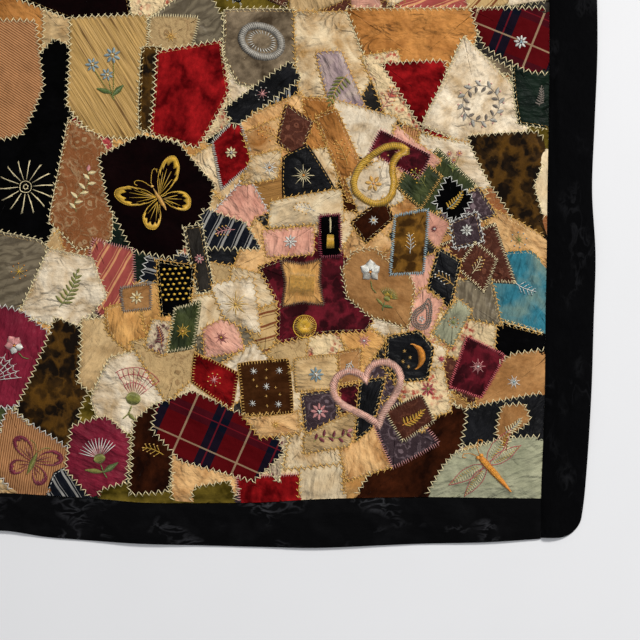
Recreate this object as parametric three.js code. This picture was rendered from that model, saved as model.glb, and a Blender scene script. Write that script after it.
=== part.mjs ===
// A square crazy quilt that lies flat: a pieced top framed by four strips of black velvet.
// Millimetres, +Z up. The origin is under the middle of the quilt, on the surface that it lies on.
// +X is the quilt's right-hand side and +Y its upper edge, as it is looked at from above.

import * as THREE from 'three';

// Heights of the cloth above the surface
const SEAM_HEIGHT = 3.0; // where a border strip is sewn to the top
const TOP_HEIGHT = 4.2; // the pieced top, away from its edges
const BORDER_HEIGHT = 5.0; // the crown of a border strip
const RIM_HEIGHT = 1.8; // the folded outer edge of a border strip
const TOP_RAMP = 30; // how far in from a seam the top reaches its full height

// Plan
const HALF_TOP = 550; // nominal half width of the pieced top
const SEAM_GAP = 0.3; // between pieces that are sewn together
const CORNER_RADIUS = 26; // the outer corners of the quilt

// Steps of the surfaces
const TOP_CELLS = 40; // along each side of the pieced top
const BORDER_CELLS = 5; // across a border strip
const CORNER_CELLS = 6; // along a strip's end, past the pieced top

// The four edges of the quilt, as they lie. Each row gives, at a place along the edge, how far out
// the seam and the folded rim lie, and how high the rim stands off the surface.
const RIGHT_EDGE = [
  { at: -600, seam: 545, rim: 592, lift: 0.0 },
  { at: -544, seam: 545.5, rim: 600, lift: 0.0 },
  { at: -426, seam: 550, rim: 608, lift: 1.5 },
  { at: -326, seam: 551, rim: 611.5, lift: 0.0 },
  { at: -245, seam: 552.5, rim: 613.5, lift: 2.0 },
  { at: -164, seam: 553.5, rim: 609.5, lift: 0.0 },
  { at: -82, seam: 555, rim: 612.5, lift: 0.0 },
  { at: 17, seam: 556, rim: 616, lift: 1.5 },
  { at: 150, seam: 555, rim: 614, lift: 0.0 },
  { at: 300, seam: 553, rim: 610, lift: 2.0 },
  { at: 450, seam: 551, rim: 612, lift: 0.0 },
  { at: 610, seam: 549, rim: 608, lift: 0.0 },
];
const LOWER_EDGE = [
  { at: -560, seam: 547, rim: 603, lift: 0.0 },
  { at: -430, seam: 549, rim: 606, lift: 1.5 },
  { at: -290, seam: 546, rim: 600, lift: 0.0 },
  { at: -131, seam: 542.5, rim: 589.5, lift: 2.0 },
  { at: -72, seam: 545.5, rim: 597.5, lift: 0.0 },
  { at: -16, seam: 549, rim: 602, lift: 0.0 },
  { at: 48, seam: 554.5, rim: 606, lift: 2.0 },
  { at: 124, seam: 555, rim: 608, lift: 0.0 },
  { at: 200, seam: 554, rim: 610, lift: 0.0 },
  { at: 269, seam: 550, rim: 611, lift: 1.5 },
  { at: 396, seam: 547.5, rim: 606, lift: 0.0 },
  { at: 480, seam: 548.5, rim: 604, lift: 1.0 },
  { at: 560, seam: 549.5, rim: 599, lift: 0.0 },
];
const LEFT_EDGE = [
  { at: -604, seam: 548, rim: 602, lift: 0.0 },
  { at: -450, seam: 550, rim: 607, lift: 0.0 },
  { at: -300, seam: 552, rim: 611, lift: 2.0 },
  { at: -120, seam: 550, rim: 607, lift: 0.0 },
  { at: 60, seam: 548, rim: 606, lift: 1.5 },
  { at: 240, seam: 551, rim: 611, lift: 0.0 },
  { at: 420, seam: 553, rim: 613, lift: 1.5 },
  { at: 610, seam: 550, rim: 607, lift: 0.0 },
];
const UPPER_EDGE = [
  { at: -560, seam: 551, rim: 608, lift: 0.0 },
  { at: -380, seam: 553, rim: 611, lift: 1.5 },
  { at: -190, seam: 550, rim: 607, lift: 0.0 },
  { at: 10, seam: 548, rim: 605, lift: 2.0 },
  { at: 200, seam: 551, rim: 609, lift: 0.0 },
  { at: 390, seam: 553, rim: 612, lift: 1.0 },
  { at: 560, seam: 550, rim: 609, lift: 0.0 },
];

// Soft swells and hollows in the pieced top: middle, half lengths, turn in degrees and height.
const SWELLS = [
  { x: 270, y: -285, long: 120, wide: 95, turn: 15, rise: 1.3 },
  { x: 90, y: -160, long: 90, wide: 55, turn: -35, rise: 1.1 },
  { x: 430, y: -150, long: 110, wide: 45, turn: 70, rise: 1.0 },
  { x: 60, y: -420, long: 80, wide: 60, turn: 30, rise: 1.2 },
  { x: 420, y: -450, long: 95, wide: 50, turn: -25, rise: 0.9 },
  { x: -90, y: -300, long: 50, wide: 130, turn: 10, rise: 1.0 },
  { x: -290, y: -280, long: 120, wide: 100, turn: 40, rise: 1.2 },
  { x: -420, y: -440, long: 80, wide: 60, turn: -20, rise: 1.0 },
  { x: -280, y: 290, long: 130, wide: 90, turn: -15, rise: 1.3 },
  { x: -60, y: 120, long: 100, wide: 50, turn: 55, rise: 1.0 },
  { x: 280, y: 280, long: 115, wide: 105, turn: 25, rise: 1.2 },
  { x: 450, y: 450, long: 70, wide: 55, turn: 0, rise: 1.0 },
  { x: 200, y: 20, long: 140, wide: 18, turn: 8, rise: -0.8 },
  { x: -20, y: -60, long: 22, wide: 120, turn: -12, rise: -0.8 },
  { x: 330, y: -480, long: 90, wide: 14, turn: 12, rise: -0.7 },
];

const lerp = THREE.MathUtils.lerp;

// Value of one column of an edge table at a place along the edge: a cubic through the rows, whose
// slope at each row is that of the line from the row before it to the row after it.
function edgeValue(rows, column, at) {
  const last = rows.length - 1;
  const place = THREE.MathUtils.clamp(at, rows[0].at, rows[last].at);
  let i = 0;
  while (i < last - 1 && place > rows[i + 1].at) {
    i += 1;
  }
  const slope = (k) => {
    const before = rows[Math.max(k - 1, 0)];
    const after = rows[Math.min(k + 1, last)];
    return (after[column] - before[column]) / (after.at - before.at);
  };
  const span = rows[i + 1].at - rows[i].at;
  const t = (place - rows[i].at) / span;
  const rise = t * t * (3 - 2 * t);
  return (
    lerp(rows[i][column], rows[i + 1][column], rise) +
    span * t * (1 - t) * ((1 - t) * slope(i) - t * slope(i + 1))
  );
}

// Height that the swells add at a point: each is a bell, longer one way than the other.
function swell(x, y) {
  let sum = 0;
  for (const s of SWELLS) {
    const turn = THREE.MathUtils.degToRad(s.turn);
    const a = (x - s.x) * Math.cos(turn) + (y - s.y) * Math.sin(turn);
    const b = (y - s.y) * Math.cos(turn) - (x - s.x) * Math.sin(turn);
    sum += s.rise * Math.exp(-((a / s.long) ** 2) - (b / s.wide) ** 2);
  }
  return sum;
}

// A point of the pieced top, u across it and v up it, each 0 to 1. The two edges' seams depend on
// each other's place, so the point is found in three steps.
function topPoint(u, v) {
  let x = lerp(-HALF_TOP, HALF_TOP, u);
  let y = lerp(-HALF_TOP, HALF_TOP, v);
  for (let step = 0; step < 3; step += 1) {
    x = lerp(-edgeValue(LEFT_EDGE, 'seam', y), edgeValue(RIGHT_EDGE, 'seam', y), u);
    y = lerp(-edgeValue(LOWER_EDGE, 'seam', x), edgeValue(UPPER_EDGE, 'seam', x), v);
  }
  return [x, y];
}

// Numbers of a grid's outer points, once round it and anticlockwise as seen from above.
function gridRim(columns, rows) {
  const wide = columns + 1;
  const count = (number, pointOf) => Array.from({ length: number }, (_, k) => pointOf(k));
  return [
    ...count(columns, (k) => k),
    ...count(rows, (k) => k * wide + columns),
    ...count(columns, (k) => rows * wide + columns - k),
    ...count(rows, (k) => (rows - k) * wide),
  ];
}

// A closed slab over a grid of columns by rows cells. upper and lower give the point of the upper
// and of the lower face at (u, v). With flatUnder the lower face is flat, and is one polygon.
function slab(columns, rows, upper, lower, flatUnder) {
  const wide = columns + 1;
  const points = [];
  const faces = [];
  const grid = (face) => {
    const first = points.length;
    for (let j = 0; j <= rows; j += 1) {
      for (let i = 0; i <= columns; i += 1) {
        points.push(face(i / columns, j / rows));
      }
    }
    return first;
  };
  const quad = (a, b, c, d) => faces.push([a, b, c], [a, c, d]);
  const rim = gridRim(columns, rows);

  grid(upper);
  for (let j = 0; j < rows; j += 1) {
    for (let i = 0; i < columns; i += 1) {
      const a = j * wide + i;
      quad(a, a + 1, a + 1 + wide, a + wide);
    }
  }
  let under;
  if (flatUnder) {
    const first = points.length;
    for (const r of rim) {
      points.push(lower((r % wide) / columns, Math.floor(r / wide) / rows));
    }
    under = rim.map((_, k) => first + k);
    const outline = under.map((k) => new THREE.Vector2(points[k][0], points[k][1]));
    for (const [a, b, c] of THREE.ShapeUtils.triangulateShape(outline, [])) {
      faces.push([under[a], under[c], under[b]]);
    }
  } else {
    const first = grid(lower);
    under = rim.map((r) => first + r);
    for (let j = 0; j < rows; j += 1) {
      for (let i = 0; i < columns; i += 1) {
        const a = first + j * wide + i;
        quad(a, a + wide, a + 1 + wide, a + 1);
      }
    }
  }
  rim.forEach((r, k) => {
    const next = (k + 1) % rim.length;
    quad(r, under[k], under[next], rim[next]);
  });

  const geometry = new THREE.BufferGeometry();
  geometry.setAttribute('position', new THREE.Float32BufferAttribute(points.flat(), 3));
  geometry.setIndex(faces.flat());
  geometry.computeVertexNormals();
  return geometry;
}

// The pieced top: full height inside, lower along its seams, with its swells.
function piecedTop() {
  const inset = (value, share) => value + (0.5 - share) * SEAM_GAP;
  const plan = (u, v) => {
    const [x, y] = topPoint(u, v);
    return [inset(x, u), inset(y, v)];
  };
  const upper = (u, v) => {
    const [x, y] = plan(u, v);
    const inward = 2 * HALF_TOP * Math.min(u, 1 - u, v, 1 - v);
    const ramp = THREE.MathUtils.smoothstep(inward, 0, TOP_RAMP);
    return [x, y, lerp(SEAM_HEIGHT, TOP_HEIGHT + swell(x, y), ramp)];
  };
  const lower = (u, v) => [...plan(u, v), 0];
  return slab(TOP_CELLS, TOP_CELLS, upper, lower, true);
}

// Height of a border strip's crown at t, from 0 at its seam to 1 at its rim: half a wave that
// rises from the seam, and a quarter of an ellipse down to the folded rim.
function crown(t) {
  const rise = THREE.MathUtils.smoothstep(t, 0, 0.35);
  const fall = Math.sqrt(Math.max(0, 1 - (Math.max(t - 0.6, 0) / 0.4) ** 2));
  return lerp(SEAM_HEIGHT, BORDER_HEIGHT, rise) - (BORDER_HEIGHT - RIM_HEIGHT) * (1 - fall);
}

// One border strip. stations are the places along the edge. place gives the plan point at a share
// u of the stations and a distance out from the middle. ends is where the strip's corners are.
// forward is true where the stations run so that the outer side is on their right.
function borderStrip(rows, stations, place, ends, forward) {
  const station = (u) => stations[Math.round(u * (stations.length - 1))];
  const rimAt = (at) => {
    const rim = edgeValue(rows, 'rim', at);
    if (!ends) {
      return rim;
    }
    const inward = Math.min(at - ends[0], ends[1] - at);
    const short = CORNER_RADIUS - Math.min(inward, CORNER_RADIUS);
    return rim - CORNER_RADIUS + Math.sqrt(CORNER_RADIUS ** 2 - short ** 2);
  };
  const across = (t) => (forward ? 1 - t : t);
  const point = (u, t, z) => {
    const at = station(u);
    const out = lerp(edgeValue(rows, 'seam', at) + SEAM_GAP / 2, rimAt(at), t);
    return [...place(u, at, out), z];
  };
  const lifted = (u, t) =>
    edgeValue(rows, 'lift', station(u)) * THREE.MathUtils.smoothstep(t, 0.4, 1);
  const upper = (u, s) => point(u, across(s), crown(across(s)) + lifted(u, across(s)));
  const lower = (u, s) => point(u, across(s), Math.max(0, lifted(u, across(s))));
  return slab(stations.length - 1, BORDER_CELLS, upper, lower, false);
}

// Places along a side strip, which runs past the pieced top to the quilt's corners. Within a
// corner's radius they close up as the corner turns.
function sideStations(u, ends) {
  const stations = [];
  for (let j = 0; j <= TOP_CELLS; j += 1) {
    stations.push(topPoint(u, j / TOP_CELLS)[1]);
  }
  const lowSeam = stations[0];
  const highSeam = stations[TOP_CELLS];
  for (let k = 1; k <= CORNER_CELLS; k += 1) {
    const turn = Math.sin((k / CORNER_CELLS) * (Math.PI / 2));
    stations.unshift(lerp(lowSeam, ends[0], turn));
    stations.push(lerp(highSeam, ends[1], turn));
  }
  return stations;
}

// Places along the lower or upper strip, which lies between the side strips.
function levelStations(v) {
  const stations = [];
  for (let i = 0; i <= TOP_CELLS; i += 1) {
    stations.push(topPoint(i / TOP_CELLS, v)[0]);
  }
  return stations;
}

// Plan point of the lower or upper strip. Its ends follow the seams of the side strips.
function levelPlace(u, y) {
  const left = -edgeValue(LEFT_EDGE, 'seam', y) + SEAM_GAP / 2;
  const right = edgeValue(RIGHT_EDGE, 'seam', y) - SEAM_GAP / 2;
  return [lerp(left, right, u), y];
}

const velvet = new THREE.MeshStandardMaterial({ color: 0x0b0b0e, roughness: 0.95, metalness: 0 });
const patchwork = new THREE.MeshStandardMaterial({ color: 0x8a6a44, roughness: 0.8, metalness: 0 });

const quilt = new THREE.Group();

function addPiece(name, geometry, material) {
  const mesh = new THREE.Mesh(geometry, material);
  mesh.name = name;
  quilt.add(mesh);
}

const RIGHT_ENDS = [-598.5, 608.5];
const LEFT_ENDS = [-603, 608];

addPiece('pieced_top', piecedTop(), patchwork);
addPiece(
  'border_right',
  borderStrip(RIGHT_EDGE, sideStations(1, RIGHT_ENDS), (u, at, out) => [out, at], RIGHT_ENDS, true),
  velvet,
);
addPiece(
  'border_left',
  borderStrip(LEFT_EDGE, sideStations(0, LEFT_ENDS), (u, at, out) => [-out, at], LEFT_ENDS, false),
  velvet,
);
addPiece(
  'border_lower',
  borderStrip(LOWER_EDGE, levelStations(0), (u, at, out) => levelPlace(u, -out), null, true),
  velvet,
);
addPiece(
  'border_upper',
  borderStrip(UPPER_EDGE, levelStations(1), (u, at, out) => levelPlace(u, out), null, false),
  velvet,
);

export default quilt;
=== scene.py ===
"""A crazy quilt lying flat: patches of velvet, satin and silk in layers, with fancy stitches over
their seams, embroidered motifs and a wide border of black velvet.

Lengths are in millimetres and heights above the surface the quilt lies on, until a mesh is made.
"""

import functools
import math

import bpy
import numpy as np
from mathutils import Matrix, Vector


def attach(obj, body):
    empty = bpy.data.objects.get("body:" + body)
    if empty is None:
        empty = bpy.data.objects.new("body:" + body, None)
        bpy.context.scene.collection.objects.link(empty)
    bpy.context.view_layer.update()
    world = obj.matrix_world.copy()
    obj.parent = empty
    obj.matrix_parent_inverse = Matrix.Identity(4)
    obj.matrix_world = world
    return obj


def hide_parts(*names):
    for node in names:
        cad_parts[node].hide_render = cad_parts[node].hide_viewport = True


bl_info = {
    "name": "Crazy quilt",
    "version": (1, 0, 0),
    "blender": (4, 5, 0),
    "location": "3D View > Sidebar > Quilt",
    "description": "Builds a crazy quilt of layered patches with embroidery and a velvet border",
    "category": "Add Mesh",
}

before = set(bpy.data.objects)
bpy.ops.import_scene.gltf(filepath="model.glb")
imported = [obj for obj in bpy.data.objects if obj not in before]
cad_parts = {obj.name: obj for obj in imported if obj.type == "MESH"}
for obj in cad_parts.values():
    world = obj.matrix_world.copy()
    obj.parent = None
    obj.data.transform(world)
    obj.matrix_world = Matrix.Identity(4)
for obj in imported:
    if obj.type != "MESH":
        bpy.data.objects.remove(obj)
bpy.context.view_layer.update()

MM = 0.001
SEAM_HEIGHT = 3.0
TOP_HEIGHT = 4.2
TOP_RAMP = 30.0
BORDER_HEIGHT = 5.0
RIM_HEIGHT = 1.8
SEAM_GAP = 0.3
CORNER_RADIUS = 26.0
RIGHT_ENDS = (-598.5, 608.5)
LEFT_ENDS = (-603.0, 608.0)
LEVEL_END = 548.5

# The quilt's edges: place along the edge, distance from the middle of the seam that the border is
# sewn on with, the same of the rim, and how far the rim lifts.
SEAM, RIM, LIFT = 1, 2, 3
RIGHT_EDGE = [
    (-600, 545, 592, 0), (-544, 545.5, 600, 0), (-426, 550, 608, 1.5), (-326, 551, 611.5, 0),
    (-245, 552.5, 613.5, 2), (-164, 553.5, 609.5, 0), (-82, 555, 612.5, 0), (17, 556, 616, 1.5),
    (150, 555, 614, 0), (300, 553, 610, 2), (450, 551, 612, 0), (610, 549, 608, 0),
]
LOWER_EDGE = [
    (-560, 547, 603, 0), (-430, 549, 606, 1.5), (-290, 546, 600, 0), (-131, 542.5, 589.5, 2),
    (-72, 545.5, 597.5, 0), (-16, 549, 602, 0), (48, 554.5, 606, 2), (124, 555, 608, 0),
    (200, 554, 610, 0), (269, 550, 611, 1.5), (396, 547.5, 606, 0), (480, 548.5, 604, 1),
    (560, 549.5, 599, 0),
]
LEFT_EDGE = [
    (-604, 548, 602, 0), (-450, 550, 607, 0), (-300, 552, 611, 2), (-120, 550, 607, 0),
    (60, 548, 606, 1.5), (240, 551, 611, 0), (420, 553, 613, 1.5), (610, 550, 607, 0),
]
UPPER_EDGE = [
    (-560, 551, 608, 0), (-380, 553, 611, 1.5), (-190, 550, 607, 0), (10, 548, 605, 2),
    (200, 551, 609, 0), (390, 553, 612, 1), (560, 550, 609, 0),
]

# Swells and hollows of the pieced top: middle, half lengths, turn in degrees and height.
SWELLS = [
    (270, -285, 120, 95, 15, 1.3), (90, -160, 90, 55, -35, 1.1), (430, -150, 110, 45, 70, 1.0),
    (60, -420, 80, 60, 30, 1.2), (420, -450, 95, 50, -25, 0.9), (-90, -300, 50, 130, 10, 1.0),
    (-290, -280, 120, 100, 40, 1.2), (-420, -440, 80, 60, -20, 1.0), (-280, 290, 130, 90, -15, 1.3),
    (-60, 120, 100, 50, 55, 1.0), (280, 280, 115, 105, 25, 1.2), (450, 450, 70, 55, 0, 1.0),
    (200, 20, 140, 18, 8, -0.8), (-20, -60, 22, 120, -12, -0.8), (330, -480, 90, 14, 12, -0.7),
]

# Creases of the border, in the same columns: the lower strip's ripples lean, the side strip has a
# long crease beside its seam and short ones at its rim.
CREASES = [
    (-105, -560, 34, 4, -38, 1.5), (-70, -575, 28, 3.5, -30, 1.2), (-88, -590, 20, 3, 10, 0.8),
    (-20, -568, 40, 4, -24, 1.3), (10, -585, 22, 3, -40, 1.0), (48, -570, 26, 3.5, 18, 0.9),
    (95, -592, 30, 3, 8, 0.8), (128, -566, 30, 4, -14, 1.5), (158, -580, 16, 3, -62, 1.1),
    (186, -568, 18, 3, -75, 1.2), (214, -574, 26, 4, -35, 1.3), (240, -562, 30, 3, 6, 1.1),
    (262, -590, 24, 3, -20, 0.9), (300, -566, 34, 3.5, 3, 1.4), (336, -578, 20, 3, -55, 1.2),
    (352, -590, 22, 3.5, -30, 1.3), (398, -574, 24, 4, -52, 1.7), (420, -586, 26, 3, -12, 1.4),
    (452, -566, 26, 3, 24, 1.0), (486, -576, 22, 3.5, -50, 1.3), (505, -590, 20, 3, 0, 0.8),
    (545, -586, 3, 26, 0, -2.0), (566, -60, 3.2, 62, 2, 1.5), (568, -6, 3, 30, -6, 1.2),
    (563, -190, 3, 30, 5, 0.9), (598, -250, 14, 3, 35, 1.2), (602, -232, 10, 2.5, -30, 1.0),
    (600, -330, 12, 3, 18, 1.0), (596, -420, 16, 3, -24, 1.1), (570, -470, 3.5, 50, -3, 0.9),
    (590, -552, 22, 4, -48, 1.2), (604, -120, 10, 3, 22, 0.9), (580, -380, 4, 40, 8, 0.7),
]

# Cloths, whose last word is their weave: colour and second colour. For velvet and panne the
# second colour is their painted sheen where the pile is crushed, for pleats and ribs the painted
# shade in their folds and grooves.
CLOTHS = {
    "black velvet": ("#030304", "#0b0b0f"), "maroon velvet": ("#26130b", "#4e2a18"),
    "plum velvet": ("#120508", "#1d080c"), "brown velvet": ("#432916", "#5e3f26"),
    "camel velvet": ("#9f7a54", "#c29c72"), "olive velvet": ("#4c4418", "#8a7c3c"),
    "grey velvet": ("#564c41", "#a69a8a"), "brown panne": ("#1d1204", "#6b4f1c"),
    "gold panne": ("#4c3510", "#947030"), "wine panne": ("#3a0a17", "#7c2438"),
    "crimson velvet": ("#5c0a12", "#b0282f"), "black satin": ("#121318", "#262830"),
    "cream satin": ("#eadfc9", "#c4aa82"), "ecru satin": ("#d6c09b", "#a4865a"),
    "gold satin": ("#dcb47a", "#ad7d42"), "pink satin": ("#e8bcb0", "#be857a"),
    "rose satin": ("#b5525a", "#8f3540"), "magenta satin": ("#8d2b48", "#651a33"),
    "green satin": ("#38432d", "#646f47"), "bottle satin": ("#12241c", "#1f3a2c"),
    "blue satin": ("#3f8ba6", "#97a89a"), "sage satin": ("#aeb3a2", "#8d9482"),
    "lilac satin": ("#a594a3", "#d2c8c2"), "slate satin": ("#2c2a29", "#4a4642"),
    "white silk": ("#ebe4d8", "#b9a27e"), "cream silk": ("#e9dcc4", "#b8955f"),
    "gold silk": ("#e2c194", "#a8783f"), "ochre silk": ("#c8955a", "#9a6a34"),
    "ochre pleat": ("#cdb079", "#7a5c30"), "tan pleat": ("#b08a56", "#6b4a26"),
    "tan rib": ("#d0a57f", "#966b4c"), "rust brocade": ("#9b6a45", "#bfa88a"),
    "ecru brocade": ("#cbb58f", "#a08462"), "black brocade": ("#211d1c", "#77706a"),
    "mauve brocade": ("#4a3c46", "#8d7f8c"), "brown brocade": ("#5c3528", "#875a49"),
    "rose stripe": ("#ad5f5e", "#d9a884"), "navy stripe": ("#0f1728", "#a3a6ab"),
    "cream stripe": ("#cbb48a", "#8c5a3c"), "grey moire": ("#6f685c", "#a0998a"),
    "cream print": ("#e4d4b6", "#b8403c"), "plum print": ("#d6cab8", "#6d2440"),
    "plaid": ("#660d18", "#10192e"),
}

# Relief of each weave: height of its broad swells, of creases along the grain, of crumples, and
# how much it puffs, each in mm.
WEAVES = {
    "velvet": (0.60, 0.20, 0.10, 1.00), "panne": (0.80, 0.40, 0.35, 1.10),
    "satin": (0.90, 0.90, 0.15, 1.10), "silk": (0.90, 0.60, 0.30, 1.00),
    "pleat": (0.60, 0.90, 0.05, 0.80), "rib": (0.70, 0.30, 0.10, 0.80),
    "brocade": (0.60, 0.40, 0.15, 0.80), "stripe": (0.60, 0.60, 0.10, 0.90),
    "moire": (0.90, 0.80, 0.20, 0.90), "print": (0.80, 0.60, 0.30, 0.90),
    "plaid": (0.80, 0.30, 0.10, 0.80),
}

# Old dye: colours are deeper than their codes, and yellowed.
DEPTH_OF_DYE = 1.2
AGE = np.array([0.975, 0.885, 0.735, 1.0])

THREADS = {
    "cream": "#ead9a8", "gold": "#dcac54", "yellow": "#d6aa30", "pink": "#d79590",
    "blue": "#95abb0", "white": "#dedcd2", "olive": "#86863a", "rose": "#b84a50",
    "orange": "#de9028", "grey": "#83776a", "green": "#5f7434", "wine": "#7a1830",
    "brown": "#5a3a20", "silver": "#b3aea2", "peach": "#e8bca8",
    # Coral and bronze are darker threads laid in the grooves of padded bands: painted shade.
    "coral": "#bd8472", "bronze": "#a8802e",
}

# Stitches over a seam: length of one repeat, reach across the seam, thickness of the thread, and
# the strokes of a repeat: start along and across, end along and across. Across is inward.
TRIMS = {
    "zigzag": (8.2, 3.3, 1.25, [(0, -1, 0.5, 1), (0.5, 1, 1, -1)]),
    "herringbone": (8.0, 3.5, 1.25, [(-0.14, -1, 0.64, 1), (0.36, 1, 1.14, -1)]),
    "feather": (8.2, 3.3, 1.25, [
        (0, 0.1, 0.5, -0.1), (0.5, -0.1, 1, 0.1), (0.05, 1.1, 0.5, -0.1), (0.55, -1.1, 1, 0.1)]),
    "fly": (7.6, 3.2, 1.2, [(0, -1, 0.5, 0), (0, 1, 0.5, 0), (0.5, 0, 1, 0)]),
    "blanket": (3.6, 3.6, 1.0, [(0, -0.15, 0, 1), (0, -0.15, 1, -0.15)]),
    "comb": (3.0, 5.0, 1.1, [(0, -0.6, 0.1, 0.5)]),
    "ladder": (4.2, 4.2, 1.1, [(0, 0.1, 0, 1.2), (0.5, -0.15, 0.5, 0.75)]),
    "running": (5.2, 2.2, 1.0, [(0, 1, 0.62, 1)]),
    "couching": (4.6, 3.6, 1.1, [(0, 1, 0.66, 0.9)]),
    "edging": (2.5, 2.5, 1.8, [(0, -0.9, 0.5, 0.9)]),
    "crosses": (7.0, 2.6, 1.0, [(0.1, -0.8, 0.7, 0.9), (0.1, 0.9, 0.7, -0.8)]),
}

# Ground patches of the corner that lies nearest: cloth, grain in degrees, corners and, where it
# isn't sewn as usual, stitch and thread.
GROUND = [
    ("black velvet", 0, [(-150, -80), (-64, 26), (-38, 14), (-44, -150), (-72, -232), (-150, -236)],
     "zigzag", "cream"),
    ("tan rib", 30, [(-150, 48), (-86, 48), (-76, -34), (-104, -96), (-150, -108)],
     "zigzag", "cream"),
    ("ochre pleat", -58, [(-44, 52), (52, 56), (64, -34), (46, -102), (-14, -96), (-48, -58)],
     "herringbone", "cream"),
    ("rust brocade", 12, [(-46, -74), (-8, -94), (14, -128), (10, -226), (-34, -240), (-70, -204),
     (-58, -142)], "feather", "cream"),
    ("grey moire", 20, [(-150, -212), (-80, -226), (-56, -246), (-96, -306), (-150, -334)],
     "feather", "cream"),
    ("rose stripe", 60, [(-14, -224), (36, -238), (40, -302), (2, -330), (-26, -296)],
     "comb", "pink"),
    ("white silk", 5, [(-70, -236), (-14, -248), (4, -296), (-40, -344), (-108, -320)],
     "feather", "cream"),
    ("magenta satin", 70, [(-150, -306), (-104, -314), (-60, -350), (-74, -404), (-112, -434),
     (-150, -440)], "zigzag", "white"),
    ("brown panne", 80, [(-62, -322), (-26, -336), (-14, -388), (-34, -446), (2, -492), (-26, -514),
     (-84, -468), (-112, -438), (-86, -384)], "zigzag", "cream"),
    ("tan rib", -35, [(-122, -434), (-82, -462), (-38, -492), (-50, -540), (-104, -556),
     (-142, -510)], "zigzag", "white"),
    ("navy stripe", -60, [(-64, -516), (-34, -500), (-10, -562), (-84, -562)], "running", "white"),
    ("wine panne", 0, [(-150, -536), (-96, -540), (-70, -562), (-150, -562)], "zigzag", "cream"),
    ("ecru satin", 50, [(-30, -324), (32, -318), (38, -372), (2, -428), (-34, -404)],
     "herringbone", "cream"),
    ("gold satin", 82, [(0, -310), (52, -296), (56, -352), (30, -366), (2, -340)]),
    ("white silk", -12, [(6, -372), (64, -360), (86, -414), (46, -470), (-4, -462), (-18, -424)],
     "feather", "cream"),
    ("magenta satin", -20, [(-42, -458), (2, -446), (32, -474), (26, -532), (-16, -552),
     (-50, -512)], "zigzag", "cream"),
    ("olive velvet", 0, [(-6, -538), (60, -520), (116, -546), (112, -566), (-14, -566)],
     "zigzag", "cream"),
    ("maroon velvet", 80, [(36, -452), (66, -428), (92, -486), (80, -540), (30, -544)],
     "zigzag", "cream"),
    ("gold silk", -25, [(84, -486), (176, -516), (156, -562), (84, -556)], "zigzag", "cream"),
    ("olive velvet", 10, [(112, -534), (156, -526), (168, -566), (104, -566)], "zigzag", "cream"),
    ("crimson velvet", 90, [(164, -522), (252, -518), (250, -566), (170, -566)], "comb", "pink"),
    ("cream satin", 80, [(244, -500), (304, -494), (308, -566), (242, -566)]),
    ("gold satin", 60, [(298, -486), (344, -494), (372, -548), (300, -566)]),
    ("ecru brocade", 0, [(56, 54), (118, 52), (104, 2), (52, 6)], "comb", "cream"),
    ("brown panne", 85, [(46, 16), (76, 14), (66, -94), (42, -88)], "feather", "cream"),
    ("grey velvet", 30, [(148, 62), (240, 62), (240, -8), (206, -42), (166, -32), (146, 6)],
     "feather", "cream"),
    ("crimson velvet", 70, [(64, 10), (146, 24), (156, -40), (116, -112), (56, -94)],
     "herringbone", "cream"),
    ("cream silk", 20, [(236, 60), (318, 60), (334, -24), (300, -84), (244, -60)]),
    ("lilac satin", -65, [(262, 8), (296, 10), (334, -76), (290, -96)]),
    ("ochre silk", 10, [(300, 64), (470, 64), (452, -24), (408, -112), (380, -60), (330, -14)],
     "feather", "cream"),
    ("cream print", 40, [(318, 4), (366, 12), (404, -96), (350, -70)]),
    ("crimson velvet", -20, [(344, -6), (426, -2), (436, -112), (398, -92)], "zigzag", "cream"),
    ("white silk", 35, [(448, 30), (534, -58), (526, -106), (456, -112), (394, -84)],
     "feather", "cream"),
    ("bottle satin", 0, [(508, -2), (570, -10), (570, -92), (516, -82)], "feather", "cream"),
    ("plaid", -22, [(456, 64), (570, 64), (570, -20), (528, -16), (474, 14)], "zigzag", "cream"),
    ("white silk", 0, [(392, -92), (458, -104), (486, -158), (444, -176), (392, -156)]),
    ("cream satin", 85, [(520, -130), (570, -100), (570, -215), (526, -180)], "zigzag", "cream"),
    ("brown panne", 40, [(452, -96), (540, -90), (556, -108), (536, -158), (560, -232), (512, -206),
     (482, -158)], "zigzag", "cream"),
    ("gold silk", -30, [(482, -184), (516, -202), (566, -230), (566, -268), (500, -254),
     (474, -216)]),
    ("blue satin", 70, [(486, -242), (532, -238), (566, -272), (566, -350), (474, -322)]),
    ("black velvet", 0, [(456, -316), (566, -346), (566, -404), (500, -384), (442, -352)],
     "feather", "cream"),
    ("camel velvet", 10, [(508, -368), (566, -360), (566, -420), (504, -434), (452, -440),
     (470, -400)], "zigzag", "cream"),
    ("black satin", 60, [(444, -438), (566, -414), (566, -486), (490, -480), (436, -486)],
     "zigzag", "cream"),
    ("maroon velvet", 50, [(396, -426), (452, -436), (444, -486), (406, -566), (296, -566),
     (336, -508)], "zigzag", "cream"),
    ("sage satin", 20, [(436, -492), (492, -474), (566, -470), (566, -566), (392, -566),
     (414, -522)], "zigzag", "cream"),
    ("camel velvet", 80, [(496, -432), (524, -430), (532, -452), (506, -470), (502, -492),
     (488, -468)], "zigzag", "cream"),
]

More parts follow.
